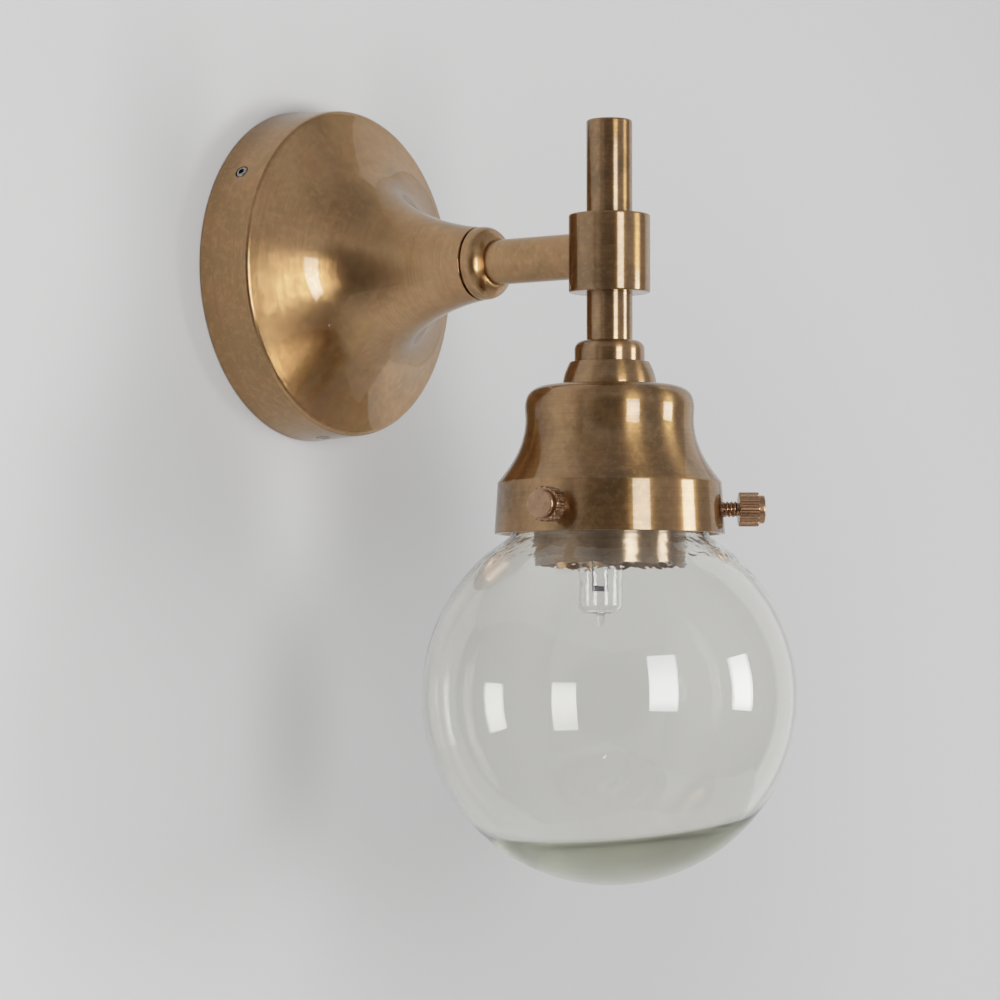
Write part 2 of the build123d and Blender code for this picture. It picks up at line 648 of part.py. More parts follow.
with BuildPart() as cone_cap:
    with BuildSketch(LAMP_SECTION):
        with BuildLine():
            ThreePointArc(
                (CONE_TOP_RADIUS, COLLAR_BOTTOM),
                (CONE_MID_RADIUS, CONE_MID),
                (CONE_BOTTOM_RADIUS, CONE_BOTTOM),
            )
            ThreePointArc(
                (CONE_BOTTOM_RADIUS - CONE_SHEET, CONE_BOTTOM),
                (CONE_MID_RADIUS - CONE_SHEET, CONE_MID),
                (CONE_TOP_RADIUS - CONE_SHEET, COLLAR_BOTTOM - CONE_SHEET),
            )
            Line((CONE_BOTTOM_RADIUS, CONE_BOTTOM), (CONE_BOTTOM_RADIUS - CONE_SHEET, CONE_BOTTOM))
            Polyline(
                (CONE_TOP_RADIUS - CONE_SHEET, COLLAR_BOTTOM - CONE_SHEET),
                (NIPPLE_RADIUS + SLIP, COLLAR_BOTTOM - CONE_SHEET),
                (NIPPLE_RADIUS + SLIP, COLLAR_BOTTOM),
                (CONE_TOP_RADIUS, COLLAR_BOTTOM),
            )
        make_face()
    revolve(axis=LAMP_AXIS)
keep(cone_cap.part, "cone_cap")

# ---------------------------------------------------------------- gallery

gallery_ceiling = CONE_BOTTOM - GALLERY_SHEET


def gallery_profile(inset, rim_inset, top):
    """The gallery's outline from its flat top to its bottom edge, moved in by the sheet."""
    shoulder = (SHOULDER_RADIUS - inset, SHOULDER_HEIGHT)
    waist = (WAIST_RADIUS - inset, WAIST_HEIGHT)
    flare_end = (RIM_TOP_RADIUS - rim_inset, RIM_TOP - inset)
    edge = (rim_bottom_radius - rim_inset, RIM_BOTTOM)
    Bezier(
        (SHOULDER_TOP_RADIUS - inset, top),
        (SHOULDER_TOP_RADIUS - inset + (SHOULDER_RADIUS - SHOULDER_TOP_RADIUS) * 0.75, top - 0.6),
        (shoulder[0], shoulder[1] + (top - shoulder[1]) * 0.6),
        shoulder,
    )
    Line(shoulder, waist)
    drop = waist[1] - flare_end[1]
    Bezier(
        waist,
        (waist[0] + 0.2, waist[1] - drop * 0.42),
        (flare_end[0] - (RIM_TOP_RADIUS - WAIST_RADIUS) * 0.55, flare_end[1] + drop * 0.30),
        flare_end,
    )
    Line(flare_end, edge)
    return edge


thumb_angles = [THUMB_FIRST_ANGLE + index * 360 / THUMB_COUNT for index in range(THUMB_COUNT)]


def thumb_direction(angle):
    """Level direction out from the lamp's centre line."""
    return Vector(sin(radians(angle)), -cos(radians(angle)), 0)


with BuildPart() as gallery_hollow:
    with BuildSketch(LAMP_SECTION):
        with BuildLine():
            bottom = gallery_profile(GALLERY_SHEET, RIM_SHEET, gallery_ceiling)
            Polyline(
                bottom,
                (bottom[0], RIM_BOTTOM - OVERCUT),
                (0, RIM_BOTTOM - OVERCUT),
                (0, gallery_ceiling),
                (SHOULDER_TOP_RADIUS - GALLERY_SHEET, gallery_ceiling),
            )
        make_face()
    revolve(axis=LAMP_AXIS)

with BuildPart() as gallery:
    with BuildSketch(LAMP_SECTION):
        with BuildLine():
            bottom = gallery_profile(0, 0, CONE_BOTTOM)
            Polyline(bottom, (0, RIM_BOTTOM), (0, CONE_BOTTOM), (SHOULDER_TOP_RADIUS, CONE_BOTTOM))
        make_face()
    revolve(axis=LAMP_AXIS)
    rim_turn = gallery.edges().filter_by(GeomType.CIRCLE).filter_by(
        lambda edge: abs(edge.arc_center.Z - RIM_TOP) < 0.001
    )
    fillet(rim_turn, RIM_SHOULDER)
    add(gallery_hollow.part, mode=Mode.SUBTRACT)
    with BuildSketch(lamp_plane(gallery_ceiling - OVERCUT)):
        Circle(NIPPLE_RADIUS + SLIP)
    extrude(amount=GALLERY_SHEET + 2 * OVERCUT, mode=Mode.SUBTRACT)
    for angle in thumb_angles:
        outward = thumb_direction(angle)
        start = outward * (rim_radius_at_thumb + RIM_SHEET) + Vector(0, -REACH, THUMB_HEIGHT)
        with BuildSketch(Plane(origin=start, z_dir=outward * -1)):
            Circle(THUMB_THREAD_RADIUS + SLIP)
        extrude(amount=3 * RIM_SHEET, mode=Mode.SUBTRACT)
keep(gallery.part, "gallery")

# ---------------------------------------------------------------- stem nipple and its nuts

stem_nipple_top = STEM_BOTTOM + NIPPLE_ENTRY
cup_ceiling = CUP_TOP - CUP_SHEET
strap_top = cup_ceiling - NUT_THICKNESS
strap_underside = strap_top - STRAP_SHEET
strap_nut_bottom = strap_underside - NUT_THICKNESS
stem_nipple_bottom = strap_nut_bottom - NIPPLE_END

with BuildPart() as stem_nipple:
    with BuildSketch(lamp_plane(stem_nipple_bottom)):
        Circle(NIPPLE_RADIUS)
        Circle(NIPPLE_BORE, mode=Mode.SUBTRACT)
    extrude(amount=stem_nipple_top - stem_nipple_bottom)
keep(stem_nipple.part, "stem_nipple")

nuts = {
    "gallery_nut": gallery_ceiling - NUT_THICKNESS,
    "cup_upper_nut": CUP_TOP,
    "cup_lower_nut": cup_ceiling - NUT_THICKNESS,
    "strap_nut": strap_nut_bottom,
}
for name, foot in nuts.items():
    with BuildPart() as nut:
        with BuildSketch(lamp_plane(foot)):
            nut_sketch()
        extrude(amount=NUT_THICKNESS)
    keep(nut.part, name)

# ---------------------------------------------------------------- lampholder cup

with BuildPart() as lampholder_cup:
    with BuildSketch(lamp_plane(CUP_BOTTOM)):
        Circle(cup_radius)
    extrude(amount=CUP_TOP - CUP_BOTTOM)
    fillet(lampholder_cup.faces().sort_by(Axis.Z)[-1].edges(), CUP_EDGE)
    with BuildPart(mode=Mode.PRIVATE) as cup_hollow:
        with BuildSketch(lamp_plane(CUP_BOTTOM)):
            Circle(cup_radius - CUP_SHEET)
        extrude(amount=cup_ceiling - CUP_BOTTOM)
        fillet(cup_hollow.faces().sort_by(Axis.Z)[-1].edges(), CUP_EDGE - CUP_SHEET)
    add(cup_hollow.part, mode=Mode.SUBTRACT)
    with BuildSketch(lamp_plane(cup_ceiling - OVERCUT)):
        Circle(NIPPLE_RADIUS + SLIP)
    extrude(amount=CUP_SHEET + 2 * OVERCUT, mode=Mode.SUBTRACT)
keep(lampholder_cup.part, "lampholder_cup")

# ---------------------------------------------------------------- strap and ceramic lampholder

offset_x = HOLDER_OFFSET * cos(radians(HOLDER_OFFSET_ANGLE))
offset_y = HOLDER_OFFSET * sin(radians(HOLDER_OFFSET_ANGLE))
holder_top = HOLDER_BOTTOM + HOLDER_HEIGHT
leg_bottom = holder_top - STRAP_LEG
leg_middle = (holder_top + leg_bottom) / 2
leg_inner = HOLDER_WIDTH / 2


def holder_plane(height):
    """A level plane over the lampholder's own centre, which is off the lamp's line."""
    return Plane(origin=(offset_x, -REACH + offset_y, height), x_dir=(1, 0, 0), z_dir=(0, 0, 1))


with BuildPart() as holder_strap:
    with BuildSketch(holder_plane(strap_underside)):
        Rectangle(HOLDER_WIDTH + 2 * STRAP_SHEET, STRAP_WIDTH)
    extrude(amount=STRAP_SHEET)
    with BuildSketch(holder_plane(leg_bottom)):
        with Locations((-leg_inner - STRAP_SHEET / 2, 0), (leg_inner + STRAP_SHEET / 2, 0)):
            Rectangle(STRAP_SHEET, STRAP_WIDTH)
    extrude(amount=strap_top - leg_bottom)
    with BuildSketch(lamp_plane(strap_underside - OVERCUT)):
        Circle(NIPPLE_RADIUS + SLIP)
    extrude(amount=STRAP_SHEET + 2 * OVERCUT, mode=Mode.SUBTRACT)
    with BuildSketch(Plane.YZ.offset(offset_x - leg_inner - 2 * STRAP_SHEET)):
        with Locations((-REACH + offset_y, leg_middle)):
            Circle(STRAP_SCREW_RADIUS + SLIP)
    extrude(amount=HOLDER_WIDTH + 4 * STRAP_SHEET, mode=Mode.SUBTRACT)
keep(holder_strap.part, "holder_strap")

with BuildPart() as lampholder_body:
    with BuildSketch(holder_plane(HOLDER_BOTTOM)):
        Rectangle(HOLDER_WIDTH, HOLDER_THICKNESS)
    extrude(amount=HOLDER_HEIGHT)
    fillet(lampholder_body.edges().filter_by(Axis.Z), HOLDER_CORNER)
    with BuildSketch(holder_plane(HOLDER_BOTTOM)):
        Rectangle(PINCH_WIDTH + 2 * HOLDER_CLEARANCE, PINCH_THICKNESS + 2 * HOLDER_CLEARANCE)
    extrude(amount=HOLDER_SEAT_DEPTH, mode=Mode.SUBTRACT)
    pocket_width = PIN_WIDTH + 2 * PIN_WIRE + 2 * HOLDER_CLEARANCE
    pocket_thickness = 2 * (PIN_WIRE + HOLDER_CLEARANCE + CONTACT_SHEET)
    pocket_height = HOLDER_SEAT_DEPTH + PIN_LENGTH + PIN_ROOM
    with BuildSketch(holder_plane(HOLDER_BOTTOM)):
        with Locations((-PIN_SPACING / 2, 0), (PIN_SPACING / 2, 0)):
            Rectangle(pocket_width, pocket_thickness)
    extrude(amount=pocket_height, mode=Mode.SUBTRACT)
    with BuildSketch(Plane.YZ.offset(offset_x - leg_inner - OVERCUT)):
        with Locations((-REACH + offset_y, leg_middle)):
            Circle(STRAP_SCREW_RADIUS + SLIP)
    extrude(amount=OVERCUT + STRAP_SCREW_LENGTH - STRAP_SHEET, mode=Mode.SUBTRACT)
    with BuildSketch(Plane.YZ.offset(offset_x + leg_inner + OVERCUT)):
        with Locations((-REACH + offset_y, leg_middle)):
            Circle(STRAP_SCREW_RADIUS + SLIP)
    extrude(amount=-OVERCUT - STRAP_SCREW_LENGTH + STRAP_SHEET, mode=Mode.SUBTRACT)
keep(lampholder_body.part, "lampholder_body")

contact_springs = []
contact_offset = PIN_WIRE + HOLDER_CLEARANCE + CONTACT_SHEET / 2
for across in (-PIN_SPACING / 2, PIN_SPACING / 2):
    for side in (-1, 1):
        with BuildPart() as contact:
            with BuildSketch(holder_plane(HOLDER_BOTTOM + HOLDER_SEAT_DEPTH)):
                with Locations((across, side * contact_offset)):
                    Rectangle(PIN_WIDTH, CONTACT_SHEET - SEAT)
            extrude(amount=PIN_LENGTH + PIN_ROOM)
        contact_springs.append(contact.part)
keep(Compound(children=contact_springs), "lampholder_contacts")

strap_screws = []
for side in (-1, 1):
    outer_face = offset_x + side * (leg_inner + STRAP_SHEET)
    with BuildPart() as strap_screw:
        with BuildSketch(Plane.YZ.offset(outer_face)):
            with Locations((-REACH + offset_y, leg_middle)):
                Circle(STRAP_HEAD_RADIUS)
        extrude(amount=side * STRAP_HEAD_HEIGHT)
        with BuildSketch(Plane.YZ.offset(outer_face)):
            with Locations((-REACH + offset_y, leg_middle)):
                Circle(STRAP_SCREW_RADIUS)
        extrude(amount=-side * (STRAP_SCREW_LENGTH - 0.2))
    strap_screws.append(strap_screw.part)
keep(Compound(children=strap_screws), "strap_screws")

# ---------------------------------------------------------------- capsule lamp

pinch_top = HOLDER_BOTTOM + HOLDER_SEAT_DEPTH - HOLDER_CLEARANCE
bulb_inner = BULB_RADIUS - BULB_GLASS

with BuildPart() as bulb_capsule:
    with BuildSketch(holder_plane(BULB_BOTTOM)):
        Circle(BULB_RADIUS)
    extrude(amount=BULB_TOP - BULB_BOTTOM)
    fillet(bulb_capsule.edges().filter_by(GeomType.CIRCLE), BULB_EDGE)
    with BuildPart(mode=Mode.PRIVATE) as bulb_hollow:
        with BuildSketch(holder_plane(BULB_BOTTOM + BULB_GLASS)):
            Circle(bulb_inner)
        extrude(amount=BULB_TOP - BULB_BOTTOM - 2 * BULB_GLASS)
        fillet(bulb_hollow.edges().filter_by(GeomType.CIRCLE), BULB_EDGE - BULB_GLASS)
    with BuildSketch(holder_plane(BULB_BOTTOM + BULB_GLASS / 2)):
        Circle(PIP_RADIUS)
    extrude(amount=-PIP_LENGTH - BULB_GLASS / 2, taper=8)
    add(bulb_hollow.part, mode=Mode.SUBTRACT)
keep(bulb_capsule.part, "bulb_capsule")

with BuildPart() as bulb_pinch:
    with BuildSketch(holder_plane(BULB_TOP)):
        Rectangle(PINCH_WIDTH, PINCH_THICKNESS)
    extrude(amount=pinch_top - BULB_TOP)
    fillet(bulb_pinch.edges().filter_by(Axis.Z), PINCH_THICKNESS / 4)
keep(bulb_pinch.part, "bulb_pinch")

bulb_pins = []
for across in (-PIN_SPACING / 2, PIN_SPACING / 2):
    with BuildPart() as pin:
        with BuildLine(holder_plane(0)):
            pin_path = FilletPolyline(
                (across - PIN_WIDTH / 2, 0, pinch_top),
                (across - PIN_WIDTH / 2, 0, pinch_top + PIN_LENGTH - PIN_WIRE),
                (across + PIN_WIDTH / 2, 0, pinch_top + PIN_LENGTH - PIN_WIRE),
                (across + PIN_WIDTH / 2, 0, pinch_top),
                radius=PIN_WIDTH * 0.45,
            )
        with BuildSketch(Plane(origin=pin_path @ 0, z_dir=pin_path % 0)):
            Circle(PIN_WIRE)
        sweep()
    bulb_pins.append(pin.part)
keep(Compound(children=bulb_pins), "bulb_pins")

filament_span = bulb_inner * 0.55
coil_pitch = 2 * filament_span / FILAMENT_TURNS
with BuildPart() as bulb_filament:
    coil_start = Vector(offset_x - filament_span, -REACH + offset_y, FILAMENT_LEVEL)
    with BuildLine():
        coil = Helix(
            pitch=coil_pitch,
            height=2 * filament_span,
            radius=FILAMENT_COIL_RADIUS,
            center=coil_start,
            direction=(1, 0, 0),
        )
    with BuildSketch(Plane(origin=coil @ 0, z_dir=coil % 0)):
        Circle(FILAMENT_WIRE)
    sweep(is_frenet=True)
keep(bulb_filament.part, "bulb_filament")

lead_wires = []
for side in (-1, 1):
    lead_x = offset_x + side * (filament_span + FILAMENT_WIRE * 3)
    with BuildPart() as lead:
        with BuildSketch(Plane(origin=(lead_x, -REACH + offset_y, FILAMENT_LEVEL - 1))):
            Circle(FILAMENT_WIRE * 1.5)
        extrude(amount=BULB_TOP - BULB_GLASS - FILAMENT_LEVEL + 1)
    lead_wires.append(lead.part)
keep(Compound(children=lead_wires), "bulb_lead_wires")

# ---------------------------------------------------------------- thumb screws

thumb_tip = neck_radius + TIP_TO_NECK
thread_length = thumb_head_start - thumb_tip
thread_turns = int(thread_length / THUMB_THREAD_PITCH)

for index, angle in enumerate(thumb_angles):
    outward = thumb_direction(angle)
    screw_plane = Plane(origin=(0, -REACH, THUMB_HEIGHT), x_dir=(0, 0, 1), z_dir=outward)
    section = Plane(origin=(0, -REACH, THUMB_HEIGHT), x_dir=(0, 0, 1), z_dir=outward.cross(Vector(0, 0, 1)))
    along = section.y_dir.dot(outward)
    with BuildPart() as thumb_screw:
        with BuildSketch(section):
            with BuildLine():
                points = [(0, along * thumb_tip), (THUMB_THREAD_ROOT, along * thumb_tip)]
                for turn in range(thread_turns):
                    valley = thumb_tip + turn * THUMB_THREAD_PITCH
                    crest = valley + THUMB_THREAD_PITCH / 2
                    points.append((THUMB_THREAD_ROOT, along * (valley + THUMB_THREAD_PITCH * 0.12)))
                    points.append((THUMB_THREAD_RADIUS, along * (crest - THUMB_THREAD_PITCH * 0.08)))
                    points.append((THUMB_THREAD_RADIUS, along * (crest + THUMB_THREAD_PITCH * 0.08)))
                    points.append((THUMB_THREAD_ROOT, along * (valley + THUMB_THREAD_PITCH * 0.88)))
                points.append((THUMB_THREAD_ROOT, along * thumb_head_start))
                points.append((0, along * thumb_head_start))
                Polyline(points, close=True)
            make_face()
        revolve(axis=Axis((0, -REACH, THUMB_HEIGHT), outward))
        with BuildSketch(screw_plane.offset(thumb_head_start)):
            Circle(THUMB_HEAD_RADIUS)
        extrude(amount=THUMB_HEAD_LENGTH)
        head_edges = thumb_screw.edges().filter_by(GeomType.CIRCLE).filter_by(
            lambda edge: abs(edge.radius - THUMB_HEAD_RADIUS) < 0.001
        )
        chamfer(head_edges, THUMB_EDGE)
        with BuildSketch(screw_plane.offset(thumb_head_start - 1)):
            with PolarLocations(THUMB_HEAD_RADIUS, THUMB_KNURLS):
                Circle(THUMB_KNURL_RADIUS)
        extrude(amount=THUMB_HEAD_LENGTH + 2, mode=Mode.SUBTRACT)
        with BuildSketch(screw_plane.offset(thumb_head_start + THUMB_HEAD_LENGTH)):
            Circle(THUMB_BOSS_RADIUS)
        extrude(amount=THUMB_BOSS_LENGTH)
        boss_face = thumb_screw.faces().filter_by(GeomType.PLANE).sort_by(Axis((0, -REACH, THUMB_HEIGHT), outward))[-1]
        fillet(boss_face.edges(), THUMB_EDGE)
    keep(thumb_screw.part, f"thumb_screw_{index + 1}")

# ---------------------------------------------------------------- glass globe

inner_radius = GLOBE_RADIUS - GLOBE_WALL
neck_meets_globe = globe_centre + sqrt(GLOBE_RADIUS**2 - neck_radius**2)
step_radius = sqrt(inner_radius**2 - (NECK_INNER_STEP - globe_centre) ** 2)
lip_bottom = LIP_TOP - LIP_HEIGHT

with BuildPart() as globe_hollow:
    with BuildSketch(LAMP_SECTION):
        with BuildLine():
            ThreePointArc(
                (0, globe_centre - inner_radius),
                (inner_radius, globe_centre),
                (step_radius, NECK_INNER_STEP),
            )
            Polyline(
                (step_radius, NECK_INNER_STEP),
                (neck_inner, NECK_INNER_STEP + NECK_STEP_RISE),
                (neck_inner, LIP_TOP + OVERCUT),
                (0, LIP_TOP + OVERCUT),
                (0, globe_centre - inner_radius),
            )
        make_face()
    revolve(axis=LAMP_AXIS)

base_inner_level = globe_centre - GLOBE_RADIUS + GLOBE_BASE
base_block = Pos(0, -REACH, base_inner_level + GLOBE_BASE_FLATNESS) * Sphere(GLOBE_BASE_FLATNESS)
base_block = base_block.rotate(Axis((0, -REACH, globe_centre), (1, 1, 0)), -GLOBE_BASE_LEAN)

with BuildPart() as glass_globe:
    with BuildSketch(LAMP_SECTION):
        with BuildLine():
            ThreePointArc(
                (0, globe_centre - GLOBE_RADIUS),
                (GLOBE_RADIUS, globe_centre),
                (neck_radius, neck_meets_globe),
            )
            Polyline(
                (neck_radius, neck_meets_globe),
                (neck_radius, lip_bottom),
                (lip_radius, lip_bottom),
                (lip_radius, LIP_TOP),
                (0, LIP_TOP),
                (0, globe_centre - GLOBE_RADIUS),
            )
        make_face()
    revolve(axis=LAMP_AXIS)
    neck_edge = glass_globe.edges().filter_by(GeomType.CIRCLE).filter_by(
        lambda edge: abs(edge.arc_center.Z - neck_meets_globe) < 0.001
    )
    fillet(neck_edge, NECK_FILLET)
    lip_edges = glass_globe.edges().filter_by(GeomType.CIRCLE).filter_by(
        lambda edge: abs(edge.radius - lip_radius) < 0.001
    )
    fillet(lip_edges, LIP_HEIGHT * 0.42)
    add(globe_hollow.part & base_block, mode=Mode.SUBTRACT)
keep(glass_globe.part, "glass_globe")
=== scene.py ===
"""A globe wall sconce: aged brass rose, arm, sleeve, stem and gallery, with a clear blown glass globe.

Metres throughout, in the part's own frame: the wall is the plane y = 0, the lamp stands out
towards -y, and +z is up. The sections follow the lamp as it is put together.
"""

import json

import bpy
import numpy as np
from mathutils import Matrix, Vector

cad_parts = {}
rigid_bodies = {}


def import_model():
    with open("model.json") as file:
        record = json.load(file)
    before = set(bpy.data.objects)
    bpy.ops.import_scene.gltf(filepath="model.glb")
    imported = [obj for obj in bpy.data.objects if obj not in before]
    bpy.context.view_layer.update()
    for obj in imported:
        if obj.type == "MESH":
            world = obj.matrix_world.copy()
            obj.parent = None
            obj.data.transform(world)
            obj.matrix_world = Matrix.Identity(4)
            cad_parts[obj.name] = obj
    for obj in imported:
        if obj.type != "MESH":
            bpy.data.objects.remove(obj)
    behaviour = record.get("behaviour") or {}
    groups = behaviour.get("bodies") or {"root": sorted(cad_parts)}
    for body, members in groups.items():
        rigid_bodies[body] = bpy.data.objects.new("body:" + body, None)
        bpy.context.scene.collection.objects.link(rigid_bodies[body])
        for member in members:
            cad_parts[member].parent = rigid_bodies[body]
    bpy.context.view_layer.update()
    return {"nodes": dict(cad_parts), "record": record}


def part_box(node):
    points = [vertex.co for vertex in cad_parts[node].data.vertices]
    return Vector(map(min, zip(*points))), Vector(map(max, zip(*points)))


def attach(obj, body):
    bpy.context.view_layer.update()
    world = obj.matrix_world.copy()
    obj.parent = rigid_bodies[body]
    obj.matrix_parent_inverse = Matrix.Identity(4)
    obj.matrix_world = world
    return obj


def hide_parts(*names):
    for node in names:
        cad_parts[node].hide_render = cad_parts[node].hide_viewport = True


for spare in list(bpy.data.objects):
    bpy.data.objects.remove(spare)
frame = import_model()

# ---------------------------------------------------------------- camera
# A long lens, level with the globe and well round to the lamp's left, so that the rose is seen
# from its side and the wall runs away behind the lamp.

camera_place = (-1.04836, -0.86076, -0.13549)
camera_turn = -53.38
camera_tilt = 2.52
focal_length = 144
film_width = 36

lens = bpy.data.cameras.new("camera")
lens.lens = focal_length
lens.sensor_width = film_width
camera = bpy.data.objects.new("camera", lens)
camera.location = camera_place
camera.rotation_euler = np.radians((90 + camera_tilt, 0, camera_turn))
bpy.context.scene.collection.objects.link(camera)
bpy.context.scene.camera = camera


def develop(view, brightest=4.0, shoulder=1.3, toe=0.016, toe_reach=0.03, knots=17):
    """
    Develops the picture as a camera does, with a soft shoulder and slightly deeper shadows: what
    shows is 1 - exp(-shoulder * light) - toe * (1 - exp(-light / toe_reach)).
    """
    view.view_transform = "Standard"
    view.use_curve_mapping = True
    mapping = view.curve_mapping
    mapping.white_level = (brightest,) * 3
    curve = mapping.curves[3]
    for light in brightest * np.linspace(0, 1, knots)[1:-1] ** 2:
        shown = 1 - np.exp(-shoulder * light) - toe * (1 - np.exp(-light / toe_reach))
        curve.points.new(light / brightest, shown)
    curve.points[-1].location[1] = 1 - np.exp(-shoulder * brightest)
    mapping.update()


develop(bpy.context.scene.view_settings)

# The globe and the capsule lamp put many glass surfaces in a line of sight.
glass_bounces = 24
metal_bounces = 16
bpy.context.scene.cycles.max_bounces = glass_bounces
bpy.context.scene.cycles.glossy_bounces = metal_bounces
bpy.context.scene.cycles.transmission_bounces = glass_bounces

# ---------------------------------------------------------------- wall, floor and light
# A flat painted wall with a plain floor in front, and a pale board at the wall's far end. A painted
# shadow greys the wall round the lamp. Two tall softboxes stand to the right of the camera, and the
# rest of the room is a dim grey.

wall_left = -3.0
wall_right = 1.5
wall_top = 1.9
floor_level = -0.9
floor_left = -1.2
floor_front = -0.95
board_front = -0.775
board_glow = 0.48
wall_painted_shadow_grey = (0.60, 0.60, 0.60, 1)
wall_pale = (0.97, 0.97, 0.97, 1)
# Places behind the lamp round which a painted shadow greys the wall paint.
painted_shadow_wide_centre = (0.12, 0, -0.12)
painted_shadow_deep_centre = (0.16, 0, -0.18)
softbox_distance = 0.65


class Wire:
    """A node socket with arithmetic: an expression on wires and numbers adds its Math nodes."""

    def __init__(self, tree, socket=None):
        self.tree = tree
        self.socket = socket

    def node(self, kind, settings, sockets, output=0):
        """Adds a node of that kind. Settings are set first, then each socket's value or link."""
        made = self.tree.nodes.new("ShaderNode" + kind)
        for name, value in settings.items():
            if name == "stops":
                ramp = made.color_ramp.elements
                for index, (place, level) in enumerate(value):
                    stop = ramp[index] if index < 2 else ramp.new(place)
                    stop.position = place
                    stop.color = (level, level, level, 1)
            else:
                setattr(made, name, value)
        for key, value in sockets.items():
            if isinstance(value, Wire):
                self.tree.links.new(value.socket, made.inputs[key])
            else:
                made.inputs[key].default_value = value
        if made.outputs:
            return Wire(self.tree, made.outputs[output])

    def maths(self, operation, *values):
        """One Math node on this socket and the values after it."""
        return self.node("Math", {"operation": operation}, dict(enumerate((self, *values))))

    def vector(self, operation, other, output):
        """One Vector Math node on this vector and another."""
        return self.node("VectorMath", {"operation": operation}, {0: self, 1: other}, output)

    def __add__(self, other):
        return self.maths("ADD", other)

    def __sub__(self, other):
        return self.maths("SUBTRACT", other)

    def __mul__(self, other):
        return self.maths("MULTIPLY", other)

    def __rsub__(self, other):
        return self.node("Math", {"operation": "SUBTRACT"}, {0: other, 1: self})

    __radd__ = __add__
    __rmul__ = __mul__

    def between(self, low, high):
        """0 up to the low value, 1 from the high value, and a smooth rise between."""
        sockets = {"Value": self, "From Min": low, "From Max": high}
        return self.node("MapRange", {"interpolation_type": "SMOOTHSTEP"}, sockets)

    def tint(self, first, second):
        """The first colour where this is 0 and the second where it is 1."""
        return self.node("Mix", {"data_type": "RGBA"}, {0: self, 6: first, 7: second}, output=2)

    def noise(self, scale, detail, roughness=0.5):
        """A cloudy pattern on this vector, from 0 to 1, with so many lumps a unit."""
        sockets = {"Vector": self, "Scale": scale, "Detail": detail, "Roughness": roughness}
        return self.node("TexNoise", {}, sockets)


def new_material(name):
    """An empty material, and the wire that its nodes are added to."""
    material = bpy.data.materials.new(name)
    material.use_nodes = True
    material.node_tree.nodes.clear()
    return material, Wire(material.node_tree)


def flat_sheet(name, corners, material):
    """A four-cornered sheet that is part of the room and not of the lamp."""
    mesh = bpy.data.meshes.new(name)
    mesh.from_pydata(corners, [], [(0, 1, 2, 3)])
    mesh.materials.append(material)
    sheet = bpy.data.objects.new(name, mesh)
    bpy.context.scene.collection.objects.link(sheet)


def painted_wall(name, glow):
    """
    Matt paint with faint roller marks, which may glow as if a lamp lit it. How pale it is adds up from
    clouds and from the distances to two places behind the lamp: a painted shadow greys it softly near
    them, and it is painted paler further out. It shows from the room side only, so that the lamp's back
    can be seen.
    """
    material, wire = new_material(name)
    place = wire.node("TexCoord", {}, {}, output="Object")
    marks = place.noise(220, 4)
    clouds = place.noise(2.5, 2)
    # Painted shadow: the paint is greyer near the two places behind the lamp and paler further out.
    wide = place.vector("DISTANCE", painted_shadow_wide_centre, "Value").between(0.05, 0.55)
    deep = place.vector("DISTANCE", painted_shadow_deep_centre, "Value").between(0.02, 0.34)
    pale = clouds * 0.15 + wide * 0.45 + deep * 0.40
    bump = wire.node("Bump", {}, {"Strength": 0.12, "Distance": 0.0004, "Height": marks})
    paint = wire.node(
        "BsdfPrincipled",
        {},
        {
            "Base Color": pale.tint(wall_painted_shadow_grey, wall_pale),
            "Roughness": 0.85,
            "Specular IOR Level": 0.25,
            "Emission Color": (1, 1, 1, 1),
            "Emission Strength": glow,
            "Normal": bump,
        },
    )
    back = wire.node("NewGeometry", {}, {}, output="Backfacing")
    clear = wire.node("BsdfTransparent", {}, {})
    surface = wire.node("MixShader", {}, {0: back, 1: paint, 2: clear})
    wire.node("OutputMaterial", {}, {"Surface": surface})
    return material


def softbox(name, round_from_front, lift, width, height, radiance):
    """
    A lit panel that faces the globe. Its angles, in degrees, are round from the wall's outward
    direction towards +x, and up. Its lamp sits low in it, so its top is dimmer by 45 per cent and its
    lower edge by half.
    """
    turn, rise = np.radians((round_from_front, lift))
    outward = np.array((np.sin(turn) * np.cos(rise), -np.cos(turn) * np.cos(rise), np.sin(rise)))
    panel = bpy.data.lights.new(name, "AREA")
    panel.shape = "RECTANGLE"
    panel.size = width
    panel.size_y = height
    panel.energy = radiance * np.pi * width * height
    panel.use_nodes = True
    panel.node_tree.nodes.clear()
    wire = Wire(panel.node_tree)
    spot = wire.node("NewGeometry", {}, {}, output="Parametric")
    height_share = wire.node("SeparateXYZ", {}, {"Vector": spot}, output="Y")
    strength = (height_share.between(0.0, 0.22) * 0.5 + 0.5) * (1 - height_share.between(0.35, 1.0) * 0.45)
    glow = wire.node("Emission", {}, {"Strength": strength})
    wire.node("OutputLight", {}, {"Surface": glow})
    lamp = bpy.data.objects.new(name, panel)
    lamp.location = globe_middle + softbox_distance * outward
    lamp.rotation_euler = (np.radians(90) - rise, 0, turn)
    bpy.context.scene.collection.objects.link(lamp)


globe_low, globe_high = (np.array(corner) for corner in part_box("glass_globe"))
globe_radius = (globe_high[0] - globe_low[0]) / 2
globe_middle = np.array(((globe_low[0] + globe_high[0]) / 2, (globe_low[1] + globe_high[1]) / 2, 0))
globe_middle[2] = globe_low[2] + globe_radius
lamp_y = globe_middle[1]

